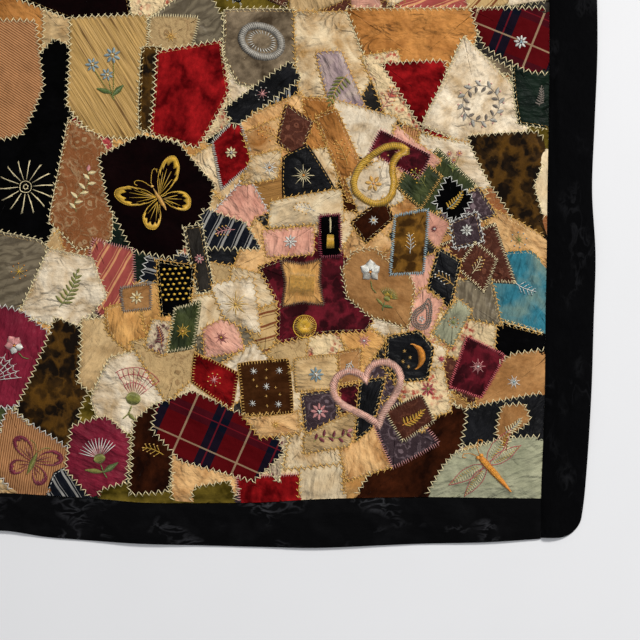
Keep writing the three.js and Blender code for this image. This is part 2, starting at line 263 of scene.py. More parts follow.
# Patches laid on last, over the wheels: the same columns.
APPLIED = [
    ("plum velvet", 0, [(-8, -122), (44, -94), (92, -104), (138, -158), (124, -214), (84, -250),
     (34, -240), (4, -182)], "zigzag", "cream"),
    ("crimson velvet", 20, [(134, -104), (166, -72), (186, -130), (146, -164)], "edging", "silver"),
    ("black satin", 32, [(148, -62), (232, -2), (246, -24), (162, -86)], "zigzag", "cream"),
    ("plaid", -24, [(66, -430), (110, -414), (212, -462), (224, -492), (186, -528), (94, -502),
     (58, -462)], "zigzag", "cream"),
    ("gold silk", 20, [(172, -92), (232, -66), (244, -106), (184, -128)]),
    ("brown brocade", 50, [(226, -54), (262, -78), (244, -126), (214, -104)], "fly", "gold"),
    ("cream silk", -20, [(182, -122), (222, -112), (216, -150), (170, -158)]),
    ("black satin", 10, [(222, -122), (254, -106), (290, -164), (222, -176)], "running", "gold"),
    ("ochre silk", -62, [(262, -72), (290, -62), (338, -168), (304, -180)]),
    ("cream satin", 20, [(206, -178), (296, -162), (300, -204), (204, -212)]),
    ("navy stripe", 64, [(124, -186), (176, -204), (196, -238), (108, -236)], "zigzag", "cream"),
    ("pink satin", 80, [(196, -214), (262, -208), (262, -244), (202, -248)]),
    ("white silk", 30, [(300, -150), (352, -120), (376, -176), (322, -206)]),
    ("green satin", -42, [(386, -118), (424, -146), (396, -190), (362, -160)], "ladder", "gold"),
    ("maroon velvet", -40, [(306, -204), (350, -172), (362, -200), (326, -232)], "fly", "gold"),
    ("black velvet", -35, [(428, -146), (460, -174), (440, -208), (410, -180)], "zigzag", "white"),
    ("pink satin", 40, [(402, -188), (432, -206), (416, -240), (396, -216)], "comb", "gold"),
    ("mauve brocade", 20, [(430, -204), (466, -190), (474, -228), (436, -238)], "feather", "white"),
    ("brown brocade", -30, [(462, -226), (492, -250), (474, -294), (438, -262)], "ladder", "cream"),
    ("black satin", -35, [(416, -234), (446, -252), (432, -314), (402, -286)]),
    ("sage satin", 65, [(440, -298), (460, -314), (434, -362), (408, -342)]),
    ("pink satin", 60, [(396, -284), (424, -302), (402, -356), (370, -334)]),
    ("cream satin", 15, [(398, -350), (430, -362), (418, -394), (388, -380)]),
    ("cream print", 20, [(362, -396), (424, -384), (434, -440), (380, -458)]),
    ("ecru satin", 0, [(236, -374), (292, -368), (296, -412), (238, -416)], "blanket", "gold"),
    ("camel velvet", 0, [(290, -366), (322, -360), (320, -404), (294, -408)]),
    ("mauve brocade", 5, [(244, -418), (292, -412), (294, -462), (250, -468)]),
    ("wine panne", 0, [(292, -408), (322, -402), (318, -438), (292, -444)]),
    ("gold silk", 0, [(172, -446), (242, -438), (246, -468), (194, -474)], "herringbone", "gold"),
    ("ecru satin", -18, [(248, -470), (324, -434), (306, -484), (248, -494)]),
    ("black satin", 70, [(318, -402), (352, -396), (334, -462), (312, -480)]),
    ("brown brocade", 25, [(350, -440), (396, -418), (412, -452), (372, -478)], "comb", "cream"),
    ("pink satin", -40, [(122, -336), (160, -318), (176, -364), (124, -374)]),
    ("slate satin", 80, [(98, -210), (122, -206), (138, -288), (116, -294)], "feather", "cream"),
    ("black velvet", 0, [(64, -250), (114, -258), (108, -318), (70, -322)]),
    ("crimson velvet", -30, [(112, -366), (168, -392), (160, -440), (108, -404)],
     "blanket", "gold"),
    ("brown velvet", 0, [(166, -380), (230, -374), (236, -442), (172, -446)], "blanket", "gold"),
    ("green satin", 78, [(86, -310), (122, -300), (112, -362), (76, -368)], "ladder", "cream"),
    ("white silk", 0, [(132, -282), (186, -272), (196, -346), (150, -326)], "herringbone", "gold"),
    ("gold satin", 84, [(220, -252), (246, -256), (270, -250), (268, -278), (274, -308),
     (248, -304), (222, -310), (226, -280)], "edging", "brown"),
    ("camel velvet", -30, [(296, -262), (310, -240), (338, -236), (350, -250), (376, -258),
     (388, -286), (380, -338), (330, -322), (302, -298)], "fly", "cream"),
    ("gold panne", 80, [(362, -196), (404, -188), (398, -268), (356, -270)], "edging", "blue"),
    ("wine panne", 75, [(452, -346), (500, -370), (470, -424), (430, -410)], "edging", "rose"),
    ("black satin", 0, [(352, -346), (392, -338), (412, -360), (404, -402), (366, -404),
     (350, -380)]),
    ("black velvet", 0, [(268, -196), (294, -194), (296, -246), (270, -248)], "edging", "wine"),
    ("camel velvet", 15, [(20, -286), (58, -280), (58, -312), (24, -316)], "edging", "grey"),
    ("wine panne", -25, [(344, -88), (408, -120), (392, -150), (330, -118)], "comb", "pink"),
    ("plum print", 15, [(60, -324), (84, -328), (76, -372), (50, -360)]),
]

# The rings of a wheel, outermost first: inner and outer reach, and its patches in turn: share of
# the ring, cloth and, where it isn't sewn as usual, stitch and thread.
WHEEL = [
    (150, 226, [
        (1.0, "brown brocade", "ladder", "cream"), (0.7, "mauve brocade"),
        (1.1, "green satin", "ladder", "cream"), (0.8, "pink satin"), (1.3, "white silk"),
        (0.7, "ochre silk"), (1.0, "gold silk"), (1.1, "cream silk"), (1.0, "ecru satin"),
        (0.8, "cream print", "crosses", "gold"), (1.0, "navy stripe", "zigzag", "white"),
        (1.1, "gold satin"), (0.9, "ecru brocade"), (1.0, "cream satin"), (0.8, "slate satin"),
        (1.0, "plum print", "feather", "cream"), (1.0, "cream silk", "herringbone", "gold"),
        (0.9, "gold silk"), (0.9, "mauve brocade", "comb", "pink"), (0.9, "ecru satin"),
        (0.8, "brown brocade"), (0.9, "cream print"), (0.8, "grey moire")]),
    (96, 168, [
        (1.2, "slate satin", "feather", "orange"), (0.8, "gold silk"),
        (1.0, "maroon velvet", "fly", "gold"), (1.2, "cream silk"), (0.9, "tan pleat"),
        (1.1, "pink satin", "feather", "white"), (1.0, "black satin"), (0.9, "ecru brocade"),
        (1.2, "cream satin"), (0.7, "grey moire", "fly", "gold"), (0.9, "white silk"),
        (1.0, "ecru satin"), (1.0, "cream satin", "herringbone", "gold"), (0.9, "gold satin"),
        (1.0, "mauve brocade"), (1.1, "black brocade"), (1.0, "cream print"), (1.0, "pink satin")]),
    (52, 112, [
        (1.0, "gold silk"), (1.1, "cream silk"), (0.9, "black brocade", "fly", "gold"),
        (1.1, "gold silk"), (1.0, "cream satin"), (0.9, "cream stripe"), (1.0, "ecru brocade"),
        (1.1, "cream print"), (0.9, "gold satin"), (1.0, "white silk"),
        (1.0, "camel velvet", "fly", "gold")]),
    (0, 66, [(1.0, "wine panne", "herringbone", "gold")]),
]
WHEEL_PLACES = [(268, -288, 4), (-262, -276, 130), (-286, 268, 235), (262, 288, 310)]

# Stitch and thread of a row that names none, how far the wedges of a wheel overlap at their outer
# end, and the degrees in a radian.
USUAL_SEWING = ("feather", "gold")
WEDGE_OVERLAP = 5.0
DEGREES = 57.3

# The corner that lies nearest and is made most finely: its lowest and its highest place.
NEAR = ((-150.0, -616.0), (620.0, 40.0))

# Grid of the relief: its step, its half width and the mark of a cell without a patch.
GRID = 1.0
GRID_REACH = 560.0
UNSET = -1

# How a patch lies: its thickness, the rise of its folded edge and the distance in over which that
# and the puff come up, the dip along its stitches, with its place and width, the least that it lies
# above what is under it, how many cells round a place it drapes over, and the margin of its window.
THICKNESS = 0.3
FOLD, FOLD_REACH = 0.55, 0.9
PUFF_REACH = 9.0
DIP, DIP_PLACE, DIP_WIDTH = 0.35, 3.4, 1.5
LEAST_RISE = 0.12
DRAPE_CELLS = 4
LAY_MARGIN = 4

# Mesh of a patch: distance in of its first rings, how far down the first is turned under, the
# spacing of points near and far, and how many rings there are for each such length further in.
RING_DEPTHS = (0.5, 0.0, 1.2, 2.8)
TUCK = 0.7
NEAR_SPACING, FAR_SPACING = 3.3, 7.0
RING_SHARE = 0.78

# Width of the ground patches that no row lists, and the foundation's depth under the patches and
# its points each way.
CELL_SIZE = 96
FOUNDATION_GAP = 0.8
FOUNDATION_STATIONS = 65

# Sides of a thread's section, rise of a seam stitch, length, overlap and lean of a stem stitch,
# coarseness of the motifs away from the near corner, and height of a groove in satin stitch.
THREAD_SIDES = 3
SEAM_STITCH_RISE = 0.55
STEM_LENGTH, STEM_OVERLAP, STEM_LEAN = 2.6, 0.45, 0.07
FAR_PITCH = 1.7
GROOVE_HEIGHT = 0.82

# Shares of the border's width: where its crown is reached and where it begins to fall.
CROWN_START, CROWN_END = 0.35, 0.6

# Camera, in metres: the point it looks straight down on, the width it sees there, its height above
# that point and its sensor in mm. The floor reaches that far each way. Lamps: place from the same
# point, size, power and colour.
FOCUS = Vector((0.269, -0.326, 0.004))
VIEW_WIDTH = 0.8
CAMERA_RISE = 3.0
SENSOR = 36.0
FLOOR_REACH = 6.0
LAMPS = [
    ("key", (2.6, 3.1, 3.3), 1.0, 252.0, (1.0, 0.985, 0.96)),
    ("fill", (1.1, -2.9, 3.3), 2.6, 34.0, (0.96, 0.98, 1.0)),
]


def smooth(value, low=0.0, high=1.0):
    """Smooth step: 0 below low, 1 above high, and 3 t squared minus 2 t cubed between."""
    t = np.clip((value - low) / (high - low), 0.0, 1.0)
    return t * t * (3.0 - 2.0 * t)


def lerp(a, b, t):
    """Straight blend from a to b."""
    return a + (b - a) * t


def edge_value(rows, column, at):
    """One column of an edge table: a cubic through the rows, whose slope at a row is that of the
    line from the row before it to the row after it."""
    table = np.asarray(rows, float)
    keys, values = table[:, 0], table[:, column]
    order = np.arange(len(keys))
    before, after = np.maximum(order - 1, 0), np.minimum(order + 1, len(keys) - 1)
    slope = (values[after] - values[before]) / (keys[after] - keys[before])
    at = np.clip(at, keys[0], keys[-1])
    i = np.clip(np.searchsorted(keys, at, side="right") - 1, 0, len(keys) - 2)
    span = keys[i + 1] - keys[i]
    t = (at - keys[i]) / span
    bend = span * t * (1 - t) * ((1 - t) * slope[i] - t * slope[i + 1])
    return lerp(values[i], values[i + 1], t * t * (3 - 2 * t)) + bend


def bells(rows, x, y):
    """Sum of bells: each is its height times e to minus the squared distances along and across its
    turned axes, in its half lengths."""
    total = np.zeros(np.broadcast(x, y).shape)
    for middle_x, middle_y, long, wide, turn, rise in rows:
        c, s = math.cos(math.radians(turn)), math.sin(math.radians(turn))
        a = (x - middle_x) * c + (y - middle_y) * s
        b = (y - middle_y) * c - (x - middle_x) * s
        total += rise * np.exp(-((a / long) ** 2) - (b / wide) ** 2)
    return total


def inward(x, y):
    """Distance in from the nearest of the four seams that join the top to its border."""
    across = np.minimum(edge_value(RIGHT_EDGE, SEAM, y) - x, x + edge_value(LEFT_EDGE, SEAM, y))
    level = np.minimum(y + edge_value(LOWER_EDGE, SEAM, x), edge_value(UPPER_EDGE, SEAM, x) - y)
    return np.minimum(across, level)


def cloth_height(x, y):
    """Height of the foundation's upper side: lower along the seams, with the swells inside."""
    return lerp(SEAM_HEIGHT, TOP_HEIGHT + bells(SWELLS, x, y), smooth(inward(x, y), 0, TOP_RAMP))


def keep_in(x, y, margin=0.2):
    """The points, moved to just inside the border's seams where they lie past them."""
    x = np.clip(x, -edge_value(LEFT_EDGE, SEAM, y) + margin, edge_value(RIGHT_EDGE, SEAM, y) - margin)
    y = np.clip(y, -edge_value(LOWER_EDGE, SEAM, x) + margin, edge_value(UPPER_EDGE, SEAM, x) - margin)
    return x, y


LATTICE = np.random.default_rng(71).uniform(-1, 1, (16, 64, 64))


def blend(values, u, v, ease=lambda share: share):
    """Values at places on a grid that repeats, each blended from the four grid points around it by
    its eased distances from them."""
    rows, columns = values.shape
    i, j = np.floor(u).astype(int), np.floor(v).astype(int)
    a, b = ease(u - i), ease(v - j)
    i, j, k, m = i % rows, j % columns, (i + 1) % rows, (j + 1) % columns
    return lerp(lerp(values[i, j], values[k, j], a), lerp(values[i, m], values[k, m], a), b)


def value_noise(x, y, size, layer):
    """Random heights from -1 to 1 on a square lattice, blended by the smooth step between."""
    return blend(LATTICE[layer % len(LATTICE)], x / size, y / size, smooth)


def ridges(x, y, size, layer):
    """Sharp crests where the noise crosses zero, and nothing between them."""
    return np.clip(1 - 3.2 * np.abs(value_noise(x, y, size, layer)), 0, 1) ** 1.5


def colour(code):
    """A colour code as linear red, green, blue and alpha."""
    parts = np.array([int(code[i:i + 2], 16) / 255 for i in (1, 3, 5)])
    linear = np.where(parts <= 0.04045, parts / 12.92, ((parts + 0.055) / 1.055) ** 2.4)
    return (*(float(part) for part in linear), 1.0)


def turned(points, degrees):
    """Points turned about the origin."""
    c, s = math.cos(math.radians(degrees)), math.sin(math.radians(degrees))
    return np.asarray(points, float) @ np.array([[c, s], [-s, c]])


def area_of(points):
    """Signed area of a closed outline, positive anticlockwise."""
    following = np.roll(points, -1, 0)
    return 0.5 * float(np.sum(points[:, 0] * following[:, 1] - points[:, 1] * following[:, 0]))


def spaced(points, count, closed=True):
    """The same line with that many points, evenly spaced along it."""
    line = np.vstack([points, points[:1]]) if closed else np.asarray(points, float)
    run = np.r_[0, np.cumsum(np.hypot(*np.diff(line, axis=0).T))]
    at = np.linspace(0, run[-1], count, endpoint=not closed)
    return np.stack([np.interp(at, run, line[:, 0]), np.interp(at, run, line[:, 1])], 1)


def length_of(points, closed=True):
    """Length of a line."""
    steps = np.roll(points, -1, 0) - points
    return float(np.hypot(*(steps if closed else steps[:-1]).T).sum())


def leftward(steps):
    """Steps of length 1, a quarter turn to the left of the given ones."""
    size = np.maximum(np.hypot(steps[..., 0], steps[..., 1]), 1e-9)
    return np.stack([-steps[..., 1], steps[..., 0]], -1) / size[..., None]


def near_corner(low, high):
    """Whether a box reaches into the corner that lies nearest."""
    return all(high[k] > NEAR[0][k] and low[k] < NEAR[1][k] for k in (0, 1))


def soft_outline(corners, rng, bow, radius):
    """A closed outline through the corners. Each side bows by half a sine wave, to a side and an
    amount drawn at random, and each corner is cut by its rounding's middle point."""
    corners = np.asarray(corners, float)
    if area_of(corners) < 0:
        corners = corners[::-1]
    ahead = np.roll(corners, -1, 0) - corners
    size = np.hypot(*ahead.T)[:, None]
    ahead = ahead / size
    behind = np.roll(ahead, 1, 0)
    corner = corners + 0.25 * radius * (ahead - behind)
    t = np.linspace(0, 1, 7)[None, 1:-1, None]
    reach = np.minimum(radius, size / 3)[:, :, None]
    sides = corners[:, None] + ahead[:, None] * (reach + (size[:, :, None] - 2 * reach) * t)
    across = np.stack([ahead[:, 1], -ahead[:, 0]], 1)[:, None]
    bows = rng.uniform(-bow, bow, (len(corners), 1, 1)) * np.minimum(size / 60, 1)[:, :, None]
    sides = sides + across * bows * np.sin(np.pi * t)
    return np.concatenate([corner[:, None], sides], 1).reshape(-1, 2)


def inset(outline, x, y):
    """Distance of points from a closed outline, positive inside it."""
    nearest = np.full(x.shape, np.inf)
    inside = np.zeros(x.shape, bool)
    for (ax, ay), (bx, by) in zip(outline, np.roll(outline, -1, 0)):
        dx, dy = bx - ax, by - ay
        t = np.clip(((x - ax) * dx + (y - ay) * dy) / max(dx * dx + dy * dy, 1e-9), 0, 1)
        nearest = np.minimum(nearest, (x - ax - t * dx) ** 2 + (y - ay - t * dy) ** 2)
        if ay != by:
            inside ^= ((ay > y) != (by > y)) & (x < ax + (y - ay) * dx / dy)
    return np.where(inside, 1.0, -1.0) * np.sqrt(nearest)


def blurred(values, reach):
    """Each value averaged with those within reach cells of it, along rows and then columns."""
    for axis in (0, 1):
        padded = np.concatenate(
            [np.take(values, [0] * (reach + 1), axis), values, np.take(values, [-1] * reach, axis)], axis)
        run = np.cumsum(padded, axis)
        width = 2 * reach + 1
        size = values.shape[axis]
        high = np.take(run, np.arange(width, width + size), axis)
        low = np.take(run, np.arange(0, size), axis)
        values = (high - low) / width
    return values


class Patch:
    """One piece of cloth: its cloth, grain, stitch, thread and outline, and its mesh once laid."""

    def __init__(self, row, rng, bow=2.0, radius=2.4):
        self.cloth, self.grain, corners, *sewing = row
        self.trim, self.thread = sewing or USUAL_SEWING
        self.weave = self.cloth.split()[-1]
        self.outline = soft_outline(corners, rng, bow, radius)
        self.near = near_corner(self.outline.min(0), self.outline.max(0))
        self.shift = rng.uniform(0, 900, 2)
        self.shade = rng.uniform(0.88, 1.1)
        self.layer = int(rng.integers(16))


class Relief:
    """The quilt's surface on a grid: its height, and which patch lies on top of the others."""

    def __init__(self):
        axis = np.arange(-GRID_REACH, GRID_REACH + GRID, GRID)
        self.x, self.y = np.meshgrid(axis, axis, indexing="ij")
        self.cloth = cloth_height(self.x, self.y)
        self.fade = 0.15 + 0.85 * smooth(inward(self.x, self.y), 0, 12)
        self.height = self.cloth.copy()
        self.owner = np.full(self.x.shape, UNSET)

    def cell(self, x, y):
        """Fractional place of a point on the grid."""
        last = len(self.x) - 1.001
        return np.clip((x + GRID_REACH) / GRID, 0, last), np.clip((y + GRID_REACH) / GRID, 0, last)

    def sample(self, x, y):
        """Height at points, blended between the four grid points around each."""
        return blend(self.height, *self.cell(x, y))

    def top_at(self, x, y):
        """Number of the patch that lies on top at points."""
        u, v = self.cell(x, y)
        return self.owner[np.rint(u).astype(int), np.rint(v).astype(int)]

    def lay(self, patch, number, puff):
        """Lays a patch: its height is the blurred height of what is under it, plus a folded edge
        that rises within a millimetre, a puff that rises within a centimetre, a dip where the
        stitches draw it in, and its weave's creases. Near the border all this fades."""
        low = (patch.outline.min(0) - LAY_MARGIN + GRID_REACH) / GRID
        low = np.floor(low).astype(int).clip(0, len(self.x) - 2)
        high = (patch.outline.max(0) + LAY_MARGIN + GRID_REACH) / GRID
        high = np.ceil(high).astype(int).clip(1, len(self.x) - 1)
        window = (slice(low[0], high[0] + 1), slice(low[1], high[1] + 1))
        x, y = self.x[window], self.y[window]
        depth = inset(patch.outline, x, y)
        within = np.maximum(depth, 0)
        broad, crease, crumple, swell = WEAVES[patch.weave]
        u, v = np.moveaxis(turned(np.stack([x, y], -1), -patch.grain), -1, 0)
        u, v = u + patch.shift[0], v + patch.shift[1]
        layer = patch.layer
        crumples = ridges(u, v, 15, layer + 2) + 0.5 * value_noise(u, v, 7, layer + 3)
        folds = (broad * value_noise(u, v, 30, layer) + crease * ridges(u / 4, v, 10, layer + 1)
                 + crumple * crumples)
        old = self.height[window]
        rise = (THICKNESS + FOLD * (1 - np.exp(-within / FOLD_REACH))
                + puff * swell * (1 - np.exp(-within / PUFF_REACH))
                - DIP * np.exp(-((within - DIP_PLACE) / DIP_WIDTH) ** 2) + folds * smooth(within, 1, 7))
        new = np.maximum(blurred(old, DRAPE_CELLS) + rise, old + LEAST_RISE)
        ground = self.cloth[window]
        new = ground + (new - ground) * self.fade[window]
        self.mesh_patch(patch, new, old, depth, low)
        self.height[window] = np.where(depth > 0, new, old)
        self.owner[window][depth > 0] = number

    def mesh_patch(self, patch, new, old, depth, low):
        """Points of a patch in rings: one turned under at the edge, three close to it, and the rest
        drawn in evenly towards the middle, which closes them. Its hem is the distance along the
        outline, wound on a circle of that length, and the distance in from it."""
        spacing = NEAR_SPACING if patch.near else FAR_SPACING
        count = max(12, int(length_of(patch.outline) / spacing))
        edge = spaced(patch.outline, count)
        inner = leftward(np.roll(edge, -1, 0) - np.roll(edge, 1, 0))
        rings = [edge + within * inner for within in RING_DEPTHS]
        arms = rings[-1] - edge.mean(0)
        radius = np.hypot(*arms.T).mean()
        shares = np.linspace(1, 0, max(3, int(radius / spacing * RING_SHARE)) + 1)[1:-1]
        rings += [edge.mean(0) + share * arms for share in shares]
        plan = np.concatenate([*rings, edge.mean(0)[None]])
        x, y = keep_in(plan[:, 0], plan[:, 1])
        u = np.clip((x + GRID_REACH) / GRID - low[0], 0, new.shape[0] - 1.001)
        v = np.clip((y + GRID_REACH) / GRID - low[1], 0, new.shape[1] - 1.001)
        z = blend(new, u, v)
        z[:count] = blend(old, u, v)[:count] - TUCK
        patch.points = np.stack([x, y, z], 1)
        patch.count, patch.rings = count, len(rings)
        patch.grain_uv = (turned(np.stack([x, y], 1), -patch.grain) + patch.shift) * MM
        angle = np.tile(2 * np.pi * np.arange(count) / count, len(rings))
        circle = length_of(patch.outline) / (2 * np.pi)
        patch.hem = np.zeros((len(plan), 3))
        patch.hem[:-1, :2] = circle * np.stack([np.cos(angle), np.sin(angle)], 1)
        patch.hem[:, 2] = np.maximum(blend(depth, u, v), 0)


def split_cells(corners, size, rng):
    """Cuts a convex outline in two by a leaning line, and each half again, until the pieces are
    about that size across."""
    corners = np.asarray(corners, float)
    if abs(area_of(corners)) < size * size * rng.uniform(0.8, 1.7):
        return [corners]
    middle = corners.mean(0)
    spread = corners - middle
    _, axes = np.linalg.eigh(spread.T @ spread)
    normal = turned(axes[:, 1][None], rng.uniform(-28, 28))[0]
    side = spread @ normal - rng.uniform(-0.12, 0.12) * size
    halves = ([], [])
    for k in range(len(corners)):
        following = (k + 1) % len(corners)
        halves[0 if side[k] < 0 else 1].append(corners[k])
        if (side[k] < 0) != (side[following] < 0):
            crossing = lerp(corners[k], corners[following], side[k] / (side[k] - side[following]))
            halves[0].append(crossing)
            halves[1].append(crossing)
    if min(len(halves[0]), len(halves[1])) < 3:
        return [corners]
    return split_cells(halves[0], size, rng) + split_cells(halves[1], size, rng)


def wheel_patches(x, y, turn, rng, rows_as_listed):
    """Patches of a wheel, ring by ring inward, so that each ring covers the last one's inner ends.
    A patch is a wedge between two reaches and two angles, with uneven corners, and the middle one
    has nine corners whose reach is long and short in turn."""
    made = []
    for inner, outer, rows in WHEEL:
        rows = list(rows)
        if not rows_as_listed:
            rng.shuffle(rows)
        shares = np.array([float(row[0]) for row in rows]) * rng.uniform(0.85, 1.15, len(rows))
        ends = turn + 360 * np.r_[0, np.cumsum(shares)] / shares.sum()
        for row, start, end in zip(rows, ends[:-1], ends[1:]):
            if inner == 0:
                angles = np.arange(0, 360, 40) + rng.uniform(-9, 9, 9)
                reach = outer * (1 + 0.22 * np.cos(np.arange(9) * np.pi)) * rng.uniform(0.9, 1.1, 9)
            else:
                over = WEDGE_OVERLAP / outer * DEGREES
                angles = np.array([start, start, end + over, end + over]) + rng.uniform(-3, 3, 4)
                reach = np.array([inner * 0.9, outer, outer, inner * 0.9])
                reach[1:3] *= rng.uniform(0.94, 1.1, 2)
            arms = np.stack([np.cos(np.radians(angles)), np.sin(np.radians(angles))], 1) * reach[:, None]
            grain = float(start) + rng.choice([0.0, 90.0, 35.0])
            made.append(Patch((row[1], grain, arms + (x, y), *row[2:]), rng, 0.7, 1.4))
        turn += 11
    return made


@functools.lru_cache(maxsize=1)
def quilt_top(puff):
    """All patches in the order they are laid, and the relief they make."""
    rng = np.random.default_rng(1887)
    side = GRID_REACH - 4
    cloths = [name for name in CLOTHS if name != "plaid"]
    trims = ["zigzag", "feather", "herringbone", "fly", "zigzag"]
    patches = []
    square = [(-side, -side), (side, -side), (side, side), (-side, side)]
    for corners in split_cells(square, CELL_SIZE, rng):
        middle = corners.mean(0)
        grown = middle + (corners - middle) * 1.06
        cloth, trim, grain = rng.choice(cloths), rng.choice(trims), rng.uniform(0, 180)
        patches.append(Patch((str(cloth), float(grain), grown, str(trim), "cream"), rng))
    for x, y, turn in WHEEL_PLACES[1:]:
        patches += wheel_patches(x, y, turn, rng, False)
    patches += [Patch(row, rng) for row in GROUND]
    patches += wheel_patches(*WHEEL_PLACES[0], rng, True)
    patches += [Patch(row, rng, 1.0, 1.4) for row in APPLIED]
    relief = Relief()
    for number, patch in enumerate(patches):
        relief.lay(patch, number, puff)
    return patches, relief


def add_piece(name, points, faces, material, uv=None, tints=None, replaces=(), hem=None):
    """Makes a mesh piece from points in mm and arrays of faces, and lets it ride with the quilt."""
    mesh = bpy.data.meshes.new(name)
    corner = np.concatenate([np.asarray(face).ravel() for face in faces]).astype(np.int32)
    sizes = np.concatenate([np.full(len(face), np.asarray(face).shape[1]) for face in faces])
    mesh.vertices.add(len(points))
    mesh.vertices.foreach_set("co", (np.asarray(points) * MM).astype(np.float32).ravel())
    mesh.loops.add(len(corner))
    mesh.loops.foreach_set("vertex_index", corner)
    mesh.polygons.add(len(sizes))
    mesh.polygons.foreach_set("loop_start", np.r_[0, np.cumsum(sizes)[:-1]].astype(np.int32))
    mesh.polygons.foreach_set("loop_total", sizes.astype(np.int32))
    mesh.polygons.foreach_set("use_smooth", np.ones(len(sizes), bool))
    if uv is not None:
        layer = mesh.uv_layers.new(name="grain")
        layer.data.foreach_set("uv", uv[corner].astype(np.float32).ravel())
    for key, values in (tints or {}).items():
        attribute = mesh.color_attributes.new(key, "FLOAT_COLOR", "POINT")
        attribute.data.foreach_set("color", values.astype(np.float32).ravel())
    if hem is not None:
        attribute = mesh.attributes.new("hem", "FLOAT_VECTOR", "POINT")
        attribute.data.foreach_set("vector", hem.astype(np.float32).ravel())
    mesh.update(calc_edges=True)
    mesh.validate()
    mesh.materials.append(material)
    piece = bpy.data.objects.new(name, mesh)
    bpy.context.scene.collection.objects.link(piece)
    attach(piece, "root")
    if replaces:
        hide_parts(*replaces)
    return piece


def grid_faces(rows, columns, first=0, close=False):
    """Four-sided faces of a grid whose points run along columns first, numbered from first."""
    i = np.arange(rows - 1)[:, None]
    j = np.arange(columns if close else columns - 1)[None]
    k = (j + 1) % columns
    return first + np.stack([i * columns + j, i * columns + k, (i + 1) * columns + k,
                             (i + 1) * columns + j], -1).reshape(-1, 4)


class Signal:
    """A shader value. Sums on it in Python add the Math nodes."""

    def __init__(self, tree, socket):
        self.tree, self.socket = tree, socket

    def sum(self, operation, first, second=0.0):
        node = self.tree.node("ShaderNodeMath", {0: first, 1: second}, operation=operation)
        return Signal(self.tree, node.outputs[0])

    def __add__(self, other):
        return self.sum("ADD", self, other)

    def __mul__(self, other):
        return self.sum("MULTIPLY", self, other)

    def __sub__(self, other):
        return self.sum("SUBTRACT", self, other)

    def __rsub__(self, other):
        return self.sum("SUBTRACT", other, self)

    def __gt__(self, other):
        return self.sum("GREATER_THAN", self, other)

    def __lt__(self, other):
        return self.sum("LESS_THAN", self, other)

    __radd__ = __add__
    __rmul__ = __mul__

    def sine(self):
        return self.sum("SINE", self)

    def size(self):
        return self.sum("ABSOLUTE", self)

    def part(self):
        return self.sum("FRACT", self)

    def wave(self):
        """Its sine, moved to run from 0 to 1."""
        return self.sine() * 0.5 + 0.5

    def within(self, low, high):
        """1 where the value lies between the two, else 0."""
        return (self > low) * (self < high)

    def held(self):
        """The value, held between 0 and 1."""
        return self.sum("MINIMUM", self.sum("MAXIMUM", self, 0.0), 1.0)


